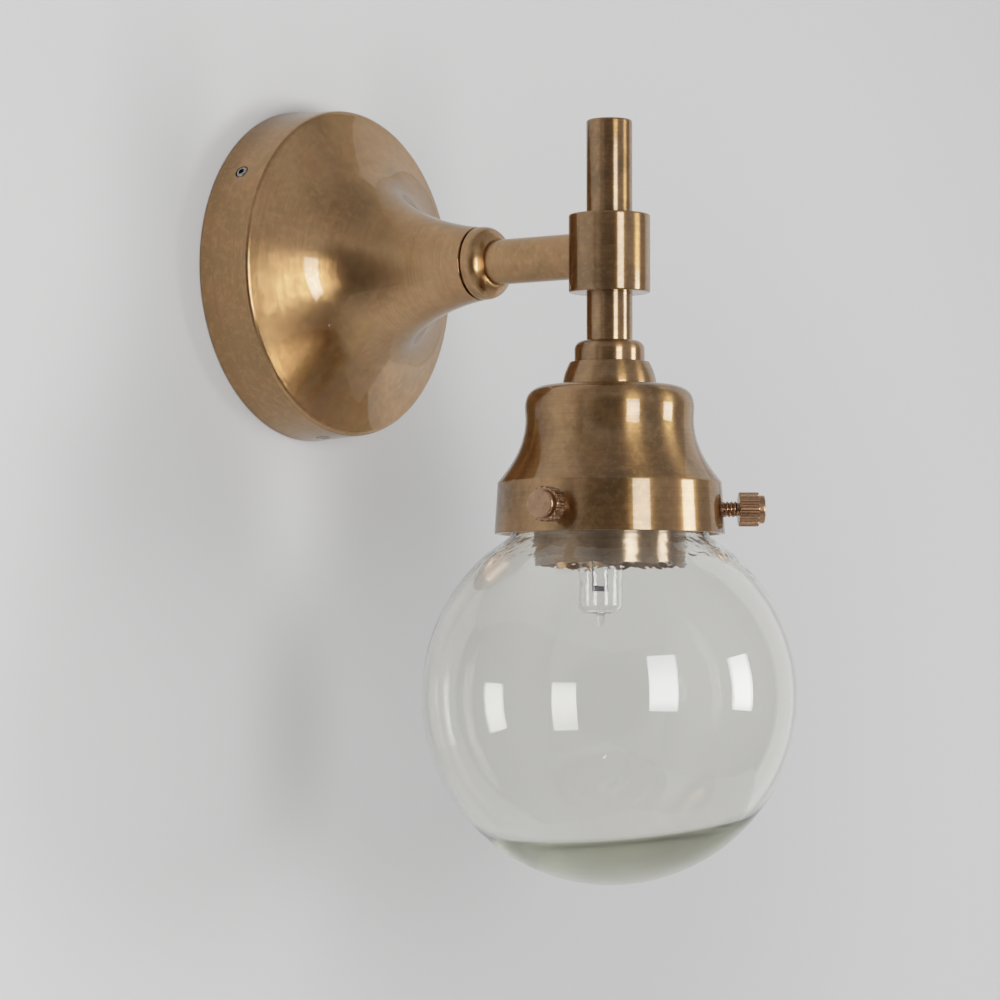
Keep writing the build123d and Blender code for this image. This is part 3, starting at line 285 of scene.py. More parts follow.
paint = painted_wall("painted_wall", 0.0)
flat_sheet(
    "wall",
    [
        (wall_left, 0, floor_level),
        (wall_right, 0, floor_level),
        (wall_right, 0, wall_top),
        (wall_left, 0, wall_top),
    ],
    paint,
)
flat_sheet(
    "floor",
    [
        (floor_left, floor_front, floor_level),
        (wall_right, floor_front, floor_level),
        (wall_right, 0, floor_level),
        (floor_left, 0, floor_level),
    ],
    paint,
)
flat_sheet(
    "board",
    [
        (wall_right, 0, floor_level),
        (wall_right, board_front, floor_level),
        (wall_right, board_front, wall_top),
        (wall_right, 0, wall_top),
    ],
    painted_wall("lit_board", board_glow),
)
softbox("softbox_left", round_from_front=-23.5, lift=7.2, width=0.196, height=0.362, radiance=12.0)
softbox("softbox_right", round_from_front=30.0, lift=5.6, width=0.176, height=0.272, radiance=14.5)


def dim_room():
    """
    A dim grey room: the grey of a line of sight follows its height, and is darkest well below level.
    The right side is dimmer by 30 per cent, and the far left of the room by 68.
    """
    room = bpy.data.worlds.new("room")
    room.use_nodes = True
    room.node_tree.nodes.clear()
    wire = Wire(room.node_tree)
    sight = wire.node("TexCoord", {}, {}, output="Generated")
    height = wire.node("SeparateXYZ", {}, {"Vector": sight}, output="Z")
    right = wire.node("SeparateXYZ", {}, {"Vector": sight}, output="X").between(0.45, 0.75)
    left = sight.vector("DOT_PRODUCT", (-0.82, -0.574, 0.0), "Value").between(0.80, 0.96)
    low_greys = [(0.0, 0.28), (0.27, 0.28), (0.38, 0.38), (0.50, 0.54)]
    high_greys = [(0.67, 0.62), (0.76, 0.56), (0.87, 0.40), (1.0, 0.38)]
    grey = wire.node("ValToRGB", {"stops": low_greys + high_greys}, {"Fac": height * 0.5 + 0.5})
    air = wire.node("Background", {}, {"Color": grey, "Strength": 1 - right * 0.3 - left * 0.68})
    wire.node("OutputWorld", {}, {"Surface": air})
    return room


bpy.context.scene.world = dim_room()

# ---------------------------------------------------------------- wall rose
# A trumpet of spun brass sheet with a straight rim, brushed round on the lathe, aged brown and
# lacquered. Three grub screws through the rim hold it on the bracket, and its nose carries the arm.

MM = 0.001
rose_low, rose_high = (np.array(corner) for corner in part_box("wall_rose"))
rose_radius = (rose_high[0] - rose_low[0]) / 2
nose_depth = -rose_low[1]
rim_depth = 19.4 * MM
rim_draft = 1.2 * MM
rim_corner = 1.9 * MM
wall_gap = -rose_high[1]
rose_sheet = 1.5 * MM
nose_radius = 12.1 * MM
nose_floor = 3.0 * MM
nose_lip = 0.35 * MM
nipple_hole = 5.05 * MM
rim_slope = 18.0
flare_middle = (33.4 * MM, 29.35 * MM)
middle_slope = 33.3
nose_slope = 82.0
flare_pulls = np.array((10.0, 4.0, 9.0, 26.0)) * MM
grub_depth = 9.8 * MM
grub_hole = 2.3 * MM
grub_start = 5.0 * MM
grub_length = 10.0 * MM
rim_shade_start = -20.0 * MM
rim_shade_full = -18.5 * MM


def rounded(corners, steps=7, straight=0.01):
    """
    A section line through corners, each (radius, height, rounding), as an array of (radius, height).
    A rounding is the arc that touches both its edges: it starts rounding * tan(half the turn)
    from the corner. One more point just outside each end keeps the flat beside it flat. A corner
    that is straight, or has no rounding, stays one point.
    """
    corners = np.array(corners, float)
    run = [corners[:1, :2]]
    for before, corner, after in zip(corners, corners[1:], corners[2:]):
        into, out = corner[:2] - before[:2], after[:2] - corner[:2]
        into, out = into / np.hypot(*into), out / np.hypot(*out)
        half = np.arccos(np.clip(into @ out, -1, 1)) / 2
        if corner[2] == 0 or half < straight:
            run.append(corner[None, :2])
            continue
        reach = corner[2] * np.tan(half)
        sweep = np.linspace(-half, half, steps)[:, None]
        middle = (out - into) / np.hypot(*(out - into))
        along = (into + out) / np.hypot(*(into + out))
        centre = corner[:2] + middle * corner[2] / np.cos(half)
        arc = centre - middle * corner[2] * np.cos(sweep) + along * corner[2] * np.sin(sweep)
        guard = 0.15 * reach
        run += [corner[None, :2] - into * (reach + guard), arc, corner[None, :2] + out * (reach + guard)]
    return np.concatenate(run + [corners[-1:, :2]])


def curve(points, steps):
    """The Bezier curve of four points, (1-t)^3 a + 3(1-t)^2 t b + 3(1-t) t^2 c + t^3 d."""
    t = np.linspace(0, 1, steps)[:, None]
    a, b, c, d = (np.array(point, float) for point in points)
    return (1 - t) ** 3 * a + 3 * (1 - t) ** 2 * t * b + 3 * (1 - t) * t**2 * c + t**3 * d


def turned(section, centre, axis, columns=320):
    """
    The grid of a section turned round an axis: at each of the columns' angles, radius * cos(angle)
    and radius * sin(angle) across the axis, and the section's height along it.
    """
    angle = np.linspace(0, 2 * np.pi, columns, endpoint=False)
    across, up = np.eye(3)[(axis + 1) % 3], np.eye(3)[(axis + 2) % 3]
    ring = np.cos(angle)[:, None] * across + np.sin(angle)[:, None] * up
    return np.array(centre) + section[:, None, :1] * ring + section[:, None, 1:] * np.eye(3)[axis]


def skin(name, grid, ring=False, sharp=40.0):
    """
    A closed mesh through a grid of points [row, column, xyz]. Columns join up all round. Rows join
    up too in a ring; otherwise the end rows have shrunk to points, and each becomes one vertex with
    a fan of triangles. "along" is each point's distance down its column. The faces turn over if the
    sum of (a x b) . c + (a x c) . d over them, six times the volume, is negative.
    """
    rows, columns = grid.shape[:2]
    steps = np.linalg.norm(np.diff(grid, axis=0), axis=2)
    along = np.concatenate([np.zeros((1, columns)), np.cumsum(steps, axis=0)])
    number = np.arange(rows * columns).reshape(rows, columns)
    points = grid.reshape(-1, 3)
    along = along.ravel()
    fans = np.zeros((0, 3), int)
    if not ring:
        number = number - columns + 1
        number[0], number[-1] = 0, number[-2, -1] + 1
        points = np.concatenate([points[:1], points[columns:-columns], points[-1:]])
        along = np.concatenate([along[:1], along[columns:-columns], along[-1:]])
        top, foot = number[1], number[-2]
        fans = np.concatenate(
            [
                np.stack([np.roll(top, -1), top, number[0]], axis=-1),
                np.stack([foot, np.roll(foot, -1), number[-1]], axis=-1),
            ]
        )
        number = number[1:-1]
    below = np.roll(number, -1, axis=0) if ring else number[1:]
    above = number if ring else number[:-1]
    quads = np.stack([above, np.roll(above, -1, axis=1), np.roll(below, -1, axis=1), below], axis=-1)
    quads = quads.reshape(-1, 4)
    a, b, c, d = (points[quads[:, corner]] for corner in range(4))
    volume = (np.cross(a, b) * c).sum() + (np.cross(a, c) * d).sum()
    if volume < 0:
        quads, fans = quads[:, ::-1], fans[:, ::-1]
    mesh = bpy.data.meshes.new(name)
    mesh.from_pydata(points.tolist(), [], quads.tolist() + fans.tolist())
    mesh.attributes.new("along", "FLOAT", "POINT").data.foreach_set("value", along.astype(np.float32))
    mesh.shade_smooth()
    mesh.set_sharp_from_angle(angle=np.radians(sharp))
    piece = bpy.data.objects.new(name, mesh)
    bpy.context.scene.collection.objects.link(piece)
    return piece


def place_piece(piece, material, slot, body, *nodes):
    """Gives a piece its material and body, in place of the solids that it stands for. The slot is not
    used.
    """
    piece.data.materials.clear()
    piece.data.materials.append(material)
    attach(piece, body)
    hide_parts(*nodes)


def drill(piece, starts, ends, radius, columns=48, sharp=40.0):
    """
    Cuts a round hole of that radius through a piece's mesh from each start to its end. The bit is two
    rings of points, radius * (cos(angle) * side + sin(angle) * way x side), one at each end.
    """
    angle = np.linspace(0, 2 * np.pi, columns, endpoint=False)
    number = np.arange(columns)
    after = np.roll(number, -1)
    points, faces = [], []
    for start, end in zip(starts, ends):
        way = (end - start) / np.linalg.norm(end - start)
        side = np.cross(way, (0, 0, 1.0))
        side = side / np.linalg.norm(side)
        ring = radius * (np.cos(angle)[:, None] * side + np.sin(angle)[:, None] * np.cross(way, side))
        low = len(points) * 2 * columns
        points.append(np.concatenate([start + ring, end + ring]))
        walls = np.stack([number, after, after + columns, number + columns], axis=1) + low
        faces += walls.tolist() + [(number[::-1] + low).tolist(), (number + columns + low).tolist()]
    mesh = bpy.data.meshes.new("drill")
    mesh.from_pydata(np.concatenate(points).tolist(), [], faces)
    bit = bpy.data.objects.new("drill", mesh)
    bpy.context.scene.collection.objects.link(bit)
    cut = piece.modifiers.new("holes", "BOOLEAN")
    cut.object = bit
    cut.solver = "EXACT"
    view = bpy.context.evaluated_depsgraph_get()
    whole = piece.data
    piece.data = bpy.data.meshes.new_from_object(piece.evaluated_get(view))
    piece.modifiers.clear()
    piece.data.set_sharp_from_angle(angle=np.radians(sharp))
    bpy.data.objects.remove(bit)
    bpy.data.meshes.remove(whole)


def streak_noise(along, place, rate, drift, detail):
    """
    Brushed streaks: a noise at (rate * along, 0, 0) + drift * place, so that it changes fast along the
    section and slowly round the piece.
    """
    flow = along.node("CombineXYZ", {}, {"X": along * rate, "Y": 0.0, "Z": 0.0})
    drifted = place.node("VectorMath", {"operation": "SCALE"}, {0: place, "Scale": drift})
    return flow.vector("ADD", drifted, "Vector").noise(1.0, detail, 0.6)


def aged_brass(name, light, dark, satin, lacquer, groove_depth=0.0, anisotropy=0.0, grain=1.0):
    """
    Turned brass, brushed round the lathe, aged and lacquered. Its age is clouds of darker metal and
    stains of redder metal, and is even all over the rim by the wall. Satin is the metal's roughness,
    and the lacquer is a clear coat, softer and thinner on a piece with anisotropy. A level piece has
    tool grooves round it instead, sin(60000 * along) + 0.6 * sin(97000 * along) in height.
    """
    material, wire = new_material(name)
    place = wire.node("TexCoord", {}, {}, output="Object")
    along = wire.node("Attribute", {"attribute_name": "along"}, {}, output="Fac")
    fine = streak_noise(along, place, 5000, 70.0, 2)
    wide = streak_noise(along, place, 1500, 40.0, 3)
    clouds = place.noise(38 * grain, 5, 0.62)
    stains = place.noise(95 * grain, 4, 0.55)
    specks = place.noise(420, 3, 0.6)
    dents = place.noise(30, 1)
    age = clouds.between(0.38, 0.66)
    red = stains.between(0.42, 0.66) * 0.75
    rim = wire.node("SeparateXYZ", {}, {"Vector": place}, output="Y")
    rim = rim.between(rim_shade_start, rim_shade_full)
    age = age + rim * (0.75 - age)
    light, dark = np.array(light), np.array(dark)
    streaks = wide * 0.6 + fine * 0.4
    colour = age.tint((*light, 1), (*dark, 1))
    colour = red.tint(colour, (*(light * (0.92, 0.83, 0.82)), 1))
    colour = (streaks.between(0.42, 0.62) * 0.22).tint(colour, (*(dark * 0.62), 1))
    colour = (specks.between(0.48, 0.62) * 0.28).tint(colour, (*(light * 1.25), 1))
    roughness = satin + (streaks - 0.5) * 0.12 + age * 0.05
    turning = (along * 60000).maths("SINE") + (along * 97000).maths("SINE") * 0.6
    relief = turning * groove_depth + fine * 8e-6 + dents * 2.2e-4
    bump = wire.node("Bump", {}, {"Strength": 1.0, "Distance": 1.0, "Height": relief})
    metal = wire.node(
        "BsdfPrincipled",
        {},
        {
            "Base Color": colour,
            "Metallic": 1.0,
            "Roughness": roughness,
            "Anisotropic": anisotropy,
            "Anisotropic Rotation": 0.25,
            "Specular Tint": (0.64, 0.60, 0.54, 1),
            "Coat Weight": lacquer + (clouds - 0.5) * 0.2,
            "Coat Roughness": 0.05 if anisotropy else 0.03,
            "Coat IOR": 1.65 if anisotropy else 1.75,
            "Normal": bump,
        },
    )
    wire.node("OutputMaterial", {}, {"Surface": metal})
    return material


def rose_section(rim_rows=2, nose_rows=4):
    """
    The rose's section as a ring: rim, flare and nose outside, then the same moved in by the sheet. The
    flare is two Bezier curves, and its first and last rows give way to the rounded corners.
    """
    rim = (rose_radius - rim_draft, rim_depth)
    nose_start = (nose_radius, nose_depth)
    ways = np.radians((rim_slope, middle_slope, middle_slope, nose_slope))
    pulls = flare_pulls[:, None] * np.stack([-np.cos(ways), np.sin(ways)], axis=1)
    outer_flare = curve([rim, rim + pulls[0], flare_middle - pulls[1], flare_middle], 36)
    inner_flare = curve([flare_middle, flare_middle + pulls[2], nose_start - pulls[3], nose_start], 70)
    flare = np.concatenate([outer_flare, inner_flare[1:]])
    outside = rounded([(rose_radius, wall_gap, 0), (*rim, rim_corner), (*flare[rim_rows], 0)])
    nose = rounded(
        [(*flare[-nose_rows], 0), (nose_radius, nose_depth, nose_lip), (nipple_hole, nose_depth, 0)]
    )
    slope = np.gradient(flare, axis=0)
    slope /= np.hypot(*slope.T)[:, None]
    inner = (flare + np.stack([-slope[:, 1], slope[:, 0]], axis=1) * rose_sheet)[::-1]
    inner = inner[(inner[:, 1] < nose_depth - nose_floor) & (inner[:, 0] < rose_radius - 2 * rose_sheet)]
    outer = np.concatenate([outside[:-1], flare[rim_rows:-nose_rows], nose])
    inside = np.concatenate(
        [
            [(nipple_hole, nose_depth - nose_floor)],
            [(inner[0, 0], nose_depth - nose_floor)],
            inner,
            [(rim[0] - rose_sheet, rim_depth - rose_sheet)],
            [(rose_radius - rose_sheet, wall_gap)],
        ]
    )
    return np.concatenate([outer, inside]) * (1, -1)


brass_light = (0.435, 0.243, 0.104)
brass_dark = (0.285, 0.157, 0.056)
rose_brass = aged_brass("aged_brass_rose", brass_light, brass_dark, 0.17, 0.60, groove_depth=2.4e-6)
rose = skin("wall_rose_skin", turned(rose_section(), (0, 0, 0), 1, 400), ring=True)
grub_turns = np.radians((146.5, 266.5, 26.5))
grub_ways = np.stack([np.cos(grub_turns), np.zeros(3), np.sin(grub_turns)], axis=1)
grub_starts = grub_ways * (rose_radius - grub_start) + (0, -grub_depth, 0)
drill(rose, grub_starts, grub_starts + grub_ways * grub_length, grub_hole)
place_piece(rose, rose_brass, "aged_brass", "root", "wall_rose")

# ---------------------------------------------------------------- ring and arm
# A domed brass ring, turned from bar, sits on a narrower spigot against the nose, so a dark line
# shows between them. The arm is a plain brass tube that runs level from the ring into the sleeve.

ring_low, ring_high = (np.array(corner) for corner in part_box("nose_ring"))
tube_low, tube_high = (np.array(corner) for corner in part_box("arm_tube"))
tube_radius = (tube_high[0] - tube_low[0]) / 2
tube_bore = 6.2 * MM
ring_radius = (ring_high[0] - ring_low[0]) / 2
ring_tip = -ring_low[1]
ring_base = nose_depth + 0.7 * MM
ring_groove = 10.8 * MM
ring_straight = 1.0 * MM
ring_edge = 0.25 * MM
ring_tip_radius = 8.1 * MM
ring_bulge = 0.62

dome_start = ring_base + ring_straight
dome_length = ring_tip - dome_start
dome = curve(
    [
        (ring_radius, dome_start),
        (ring_radius, dome_start + dome_length * ring_bulge),
        (ring_radius - (ring_radius - ring_tip_radius) * (1 - ring_bulge), ring_tip - dome_length / 5),
        (ring_tip_radius, ring_tip),
    ],
    28,
)
ring_section = np.concatenate(
    [
        [(tube_radius, nose_depth), (ring_groove, nose_depth), (ring_groove, ring_base)],
        rounded([(ring_groove, ring_base, 0), (ring_radius, ring_base, ring_edge), (*dome[0], 0)])[1:-1],
        dome,
        [(tube_radius, ring_tip)],
    ]
)
arm_brass = aged_brass(
    "aged_brass_arm", brass_light, brass_dark, 0.20, 0.56, groove_depth=1.8e-6, grain=1.4
)
nose_ring = skin("nose_ring_skin", turned(ring_section * (1, -1), (0, 0, 0), 1, 200), ring=True)
place_piece(nose_ring, arm_brass, "aged_brass", "root", "nose_ring")

sleeve_low, sleeve_high = (np.array(corner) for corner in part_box("sleeve"))
sleeve_radius = (sleeve_high[0] - sleeve_low[0]) / 2


def saddle(radius, columns):
    """How far out a level tube of that radius meets the upright sleeve: reach - sqrt(R^2 - x^2)."""
    angle = np.linspace(0, 2 * np.pi, columns, endpoint=False)
    return -lamp_y - np.sqrt(sleeve_radius**2 - (radius * np.sin(angle)) ** 2)


def arm_grid(columns=200, rows=60):
    """The arm as a ring of rows: out along its outside from the nose to the saddle, and back inside."""
    angle = np.linspace(0, 2 * np.pi, columns, endpoint=False)
    ring = np.stack([np.sin(angle), np.zeros(columns), np.cos(angle)], axis=1)
    share = np.linspace(0, 1, rows)[:, None, None]
    start = np.array((0, -nose_depth, 0))
    walls = []
    for radius in (tube_radius, tube_bore):
        end = radius * ring - saddle(radius, columns)[:, None] * np.array((0, 1, 0))
        walls.append((radius * ring + start) * (1 - share) + end * share)
    return np.concatenate([walls[0], walls[1][::-1]])


arm = skin("arm_tube_skin", arm_grid(), ring=True)
place_piece(arm, arm_brass, "aged_brass", "root", "arm_tube")

# ---------------------------------------------------------------- sleeve and stem
# A thick turned sleeve at the arm's end holds the upright stem, a brass tube whose top is closed
# by a plug with a softened edge. Brushing runs round both.

sleeve_edge = 0.6 * MM
plug_edge = 0.8 * MM
stem_low, stem_high = (np.array(corner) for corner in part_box("stem_tube"))
plug_low, plug_high = (np.array(corner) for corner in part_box("stem_top_plug"))
lamp_centre = (0, lamp_y, 0)

stem_light = (0.365, 0.202, 0.080)
stem_dark = (0.195, 0.106, 0.035)
stem_brass = aged_brass("aged_brass_stem", stem_light, stem_dark, 0.31, 0.90, anisotropy=0.95, grain=1.4)
sleeve_section = rounded(
    [
        (tube_radius, sleeve_low[2], 0),
        (sleeve_radius, sleeve_low[2], sleeve_edge),
        (sleeve_radius, sleeve_high[2], sleeve_edge),
        (tube_radius, sleeve_high[2], 0),
    ]
)
sleeve = skin("sleeve_skin", turned(sleeve_section, lamp_centre, 2, 240), ring=True)
place_piece(sleeve, stem_brass, "aged_brass", "root", "sleeve")

stem_section = np.array(
    [
        (tube_bore, stem_low[2]),
        (tube_radius, stem_low[2]),
        (tube_radius, stem_high[2]),
        (tube_bore, stem_high[2]),
    ]
)
stem = skin("stem_tube_skin", turned(stem_section, lamp_centre, 2, 200), ring=True)
place_piece(stem, stem_brass, "aged_brass", "root", "stem_tube")

plug_section = rounded(
    [
        (0, plug_low[2], 0),
        (tube_bore, plug_low[2], 0),
        (tube_bore, stem_high[2], 0),
        (tube_radius, stem_high[2], 0),
        (tube_radius, plug_high[2], plug_edge),
        (0, plug_high[2], 0),
    ]
)
plug = skin("stem_plug_skin", turned(plug_section, lamp_centre, 2, 200))
place_piece(plug, stem_brass, "aged_brass", "root", "stem_top_plug")

# ---------------------------------------------------------------- collar and cone cap
# A low turned collar with a round shoulder closes the stem's foot, and a small stepped cone of
# spun brass carries it on the gallery's flat top.

collar_low, collar_high = (np.array(corner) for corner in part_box("stem_collar"))
cone_low, cone_high = (np.array(corner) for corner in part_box("cone_cap"))
collar_radius = (collar_high[0] - collar_low[0]) / 2
collar_foot_edge = 0.2 * MM
collar_edge = 3.0 * MM
cone_top_radius = 12.8 * MM
cone_mid = (14.5 * MM, -38.9 * MM)
cone_foot_radius = (cone_high[0] - cone_low[0]) / 2
cone_sheet = 1.4 * MM
cone_edge = 0.25 * MM
cone_edge_rows = 3

collar_section = rounded(
    [
        (tube_radius, collar_low[2], 0),
        (collar_radius, collar_low[2], collar_foot_edge),
        (collar_radius, collar_high[2], collar_edge),
        (tube_radius, collar_high[2], 0),
    ],
    12,
)
collar = skin("stem_collar_skin", turned(collar_section, lamp_centre, 2, 200), ring=True)
place_piece(collar, stem_brass, "aged_brass", "root", "stem_collar")


def through(start, middle, end, steps):
    """A gently bowed line through three points: the parabola that passes the middle one half way."""
    t = np.linspace(0, 1, steps)[:, None]
    start, middle, end = (np.array(point, float) for point in (start, middle, end))
    return start * (1 - t) * (1 - 2 * t) + middle * 4 * t * (1 - t) + end * t * (2 * t - 1)


cone_side = through((cone_top_radius, cone_high[2]), cone_mid, (cone_foot_radius, cone_low[2]), 24)
cone_outside = cone_side[cone_edge_rows:]
cone_top = rounded(
    [(nipple_hole, cone_high[2], 0), (*cone_side[0], cone_edge), (*cone_outside[0], 0)]
)
cone_ceiling = cone_high[2] - cone_sheet
cone_section = np.concatenate(
    [
        cone_top[:-1],
        cone_outside,
        [(cone_foot_radius - cone_sheet, cone_low[2])],
        cone_outside[::-1] - (cone_sheet, 0),
        [(cone_top_radius - cone_sheet, cone_ceiling), (nipple_hole, cone_ceiling)],
    ]
)
cone = skin("cone_cap_skin", turned(cone_section, lamp_centre, 2, 240), ring=True)
place_piece(cone, stem_brass, "aged_brass", "root", "cone_cap")

# ---------------------------------------------------------------- gallery
# The shade holder: a bell spun from brass sheet, with a flat top, a round shoulder, a waist and a
# hollow flare down to a straight rim band. It is brushed round, and drilled for the thumb screws.

gallery_low, gallery_high = (np.array(corner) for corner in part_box("gallery"))
gallery_sheet = 1.3 * MM
band_sheet = 1.7 * MM
shoulder_top_radius = 20.0 * MM
shoulder_dip = 0.6 * MM
shoulder = (27.2 * MM, -50.0 * MM)
waist = (27.0 * MM, -53.3 * MM)
waist_swell = 0.2 * MM
band_top = (35.9 * MM, -73.6 * MM)
band_foot = ((gallery_high[0] - gallery_low[0]) / 2, gallery_low[2])
band_turn = 1.3 * MM
band_edge = 0.25 * MM
thumb_height = -82.1 * MM
thumb_hole = 2.55 * MM
thumb_hole_start = 30.0 * MM
thumb_hole_length = 12.0 * MM


def bell(inset, band_inset, top, turn_rows=5):
    """
    The bell's outline from its flat top to its bottom edge, moved in by the sheet: a Bezier curve for
    the shoulder, another for the flare, and an arc in place of the flare's last rows.
    """
    over = (shoulder[0] - inset, shoulder[1])
    under = (waist[0] - inset, waist[1])
    flare_end = (band_top[0] - band_inset, band_top[1] - inset)
    drop = under[1] - flare_end[1]
    dome = curve(
        [
            (shoulder_top_radius - inset, top),
            (shoulder_top_radius - inset + (shoulder[0] - shoulder_top_radius) * 0.75, top - shoulder_dip),
            (over[0], over[1] + (top - over[1]) * 0.6),
            over,
        ],
        32,
    )
    flare = curve(
        [
            under,
            (under[0] + waist_swell, under[1] - drop * 0.42),
            (flare_end[0] - (band_top[0] - waist[0]) * 0.55, flare_end[1] + drop * 0.30),
            flare_end,
        ],
        60,
    )
    foot = (band_foot[0] - band_inset, band_foot[1])
    turn = rounded([(*flare[-turn_rows], 0), (*flare_end, band_turn), (*foot, 0)])[1:-1]
    return np.concatenate([dome, flare[:-turn_rows], turn, [foot]])


gallery_outside = bell(0, 0, gallery_high[2])
gallery_inside = bell(gallery_sheet, band_sheet, gallery_high[2] - gallery_sheet)
gallery_section = np.concatenate(
    [
        [(nipple_hole, gallery_high[2])],
        gallery_outside[:-1],
        rounded(
            [
                (*gallery_outside[-2], 0),
                (*gallery_outside[-1], band_edge),
                (*gallery_inside[-1], band_edge),
                (*gallery_inside[-2], 0),
            ],
            5,
        )[1:-1],
        gallery_inside[::-1][1:],
        [(nipple_hole, gallery_high[2] - gallery_sheet)],
    ]
)
gallery_brass = aged_brass("aged_brass_gallery", stem_light, stem_dark, 0.32, 0.75, anisotropy=0.95)
gallery = skin("gallery_skin", turned(gallery_section, lamp_centre, 2, 400), ring=True)
thumb_turns = np.radians((-81.0, 39.0, 159.0))
thumb_ways = np.stack([np.sin(thumb_turns), -np.cos(thumb_turns), np.zeros(3)], axis=1)
thumb_starts = thumb_ways * thumb_hole_start + (0, lamp_y, thumb_height)
drill(gallery, thumb_starts, thumb_starts + thumb_ways * thumb_hole_length, thumb_hole)
place_piece(gallery, gallery_brass, "aged_brass", "root", "gallery")

# Its own image in the rose's flare would be a hard dark red patch, so no reflection shows it.
gallery.visible_glossy = False

# ---------------------------------------------------------------- thumb screws
# Three turned screws of darker brass clamp the glass: a straight-knurled head with a plain round
# boss, and a coarse thread that runs through the band to just short of the glass neck.

thumb_tip = 31.75 * MM
thumb_head_start = 41.4 * MM
thumb_head_length = 6.4 * MM
thumb_boss_length = 1.9 * MM
thumb_head_radius = 5.5 * MM
thumb_boss_radius = 4.5 * MM
thread_radius = 2.5 * MM
thread_root = 2.05 * MM
thread_pitch = 1.27 * MM
thread_relief = 0.6 * MM
head_edge = 0.35 * MM
boss_edge = 0.45 * MM
knurls = 18
knurl_radius = 0.55 * MM


def thumb_screw_grid(turn, knurl_columns=12, thread_steps=84):
    """
    One screw as a surface of distance along its axis and angle round it. The thread's radius rises
    and falls with distance / pitch - angle / a full turn. Each knurl is a round-bottomed groove, whose
    depth is sqrt(knurl radius^2 - offset^2) at an offset round the head from its middle.
    """
    angle = np.linspace(0, 2 * np.pi, knurls * knurl_columns, endpoint=False)
    thread_rows = np.linspace(thumb_tip, thumb_head_start, thread_steps)
    phase = thread_rows[:, None] / thread_pitch - angle / (2 * np.pi)
    ridge = np.clip(1.5 - 3.2 * np.abs(phase % 1 - 0.5), 0, 1)
    threaded = thread_rows[:, None] < thumb_head_start - thread_relief
    thread = thread_root + (thread_radius - thread_root) * ridge * threaded
    head_end = thumb_head_start + thumb_head_length
    head = rounded(
        [
            (thread_root, thumb_head_start, 0),
            (thumb_head_radius, thumb_head_start, head_edge),
            (thumb_head_radius, head_end, head_edge),
            (thumb_boss_radius, head_end, 0),
            (thumb_boss_radius, head_end + thumb_boss_length, boss_edge),
            (0, head_end + thumb_boss_length, 0),
        ],
        5,
    )
    offset = (angle * knurls / (2 * np.pi)) % 1 - 0.5
    offset = offset * 2 * np.pi / knurls * thumb_head_radius
    groove = np.sqrt(np.clip(knurl_radius**2 - offset**2, 0, None))
    radius = head[:, :1] * np.ones(len(angle))
    knurled = np.minimum(radius, thumb_head_radius - groove)
    on_head = head[:, 1:] <= head_end
    radius = np.where(on_head & (head[:, :1] > thumb_boss_radius), knurled, radius)
    radius = np.concatenate([np.zeros((1, len(angle))), thread, radius])
    reach = np.concatenate([[thumb_tip], thread_rows, head[:, 1]])[:, None]
    outward = np.array((np.sin(turn), -np.cos(turn), 0))
    sideways = np.cross(outward, (0, 0, 1))
    centre = np.array((0, lamp_y, thumb_height))
    ring = np.cos(angle)[:, None] * sideways + np.sin(angle)[:, None] * np.array((0, 0, 1))
    return centre + reach[..., None] * outward + radius[..., None] * ring


thumb_light = (0.42, 0.245, 0.140)
thumb_dark = (0.29, 0.155, 0.080)
thumb_brass = aged_brass("aged_brass_thumb", thumb_light, thumb_dark, 0.24, 0.5, grain=3.0)
for index, turn in enumerate(thumb_turns):
    name = f"thumb_screw_{index + 1}"
    screw = skin(name + "_skin", thumb_screw_grid(turn), sharp=30)
    place_piece(screw, thumb_brass, "thumb_brass", f"thumb_{index + 1}", name)

# ---------------------------------------------------------------- glass globe
# Clear soda glass, blown: a ball with a thick gathered base, a heavier neck with a step inside it,
# and a lip that the thumb screws hold. Thick glass looks faintly green.

globe_wall = 1.9 * MM
globe_base = 7.6 * MM
base_flatness = 86.0 * MM
base_lean = np.radians(5.0)
base_lean_axis = np.array((1.0, 1.0, 0.0)) / np.sqrt(2)
neck_radius = 31.4 * MM
neck_wall = 2.2 * MM
neck_fillet = 3.0 * MM
neck_ridge = -95.0 * MM
ridge_width = 0.7 * MM
ridge_height = 0.35 * MM
base_blend = 1.2 * MM
base_fade = 20.0 * MM
lip_radius = 33.5 * MM
lip_top = globe_high[2]
lip_height = 3.6 * MM
lip_edge = 1.5 * MM
lip_inner_edge = 1.0 * MM
ball_centre = globe_middle[2]


def ball_arc(radius, start, end, steps):
    """An arc of the ball's section between two angles from straight down, as (radius, height)."""
    angle = np.linspace(start, end, steps)
    return np.stack([radius * np.sin(angle), ball_centre - radius * np.cos(angle)], axis=1)


def turned_about(axis, angle, arm):
    """An arm turned about an axis: arm cos + (axis x arm) sin + axis (axis . arm) (1 - cos)."""
    cosine, sine = np.cos(angle), np.sin(angle)
    return arm * cosine + np.cross(axis, arm) * sine + axis * (axis @ arm) * (1 - cosine)


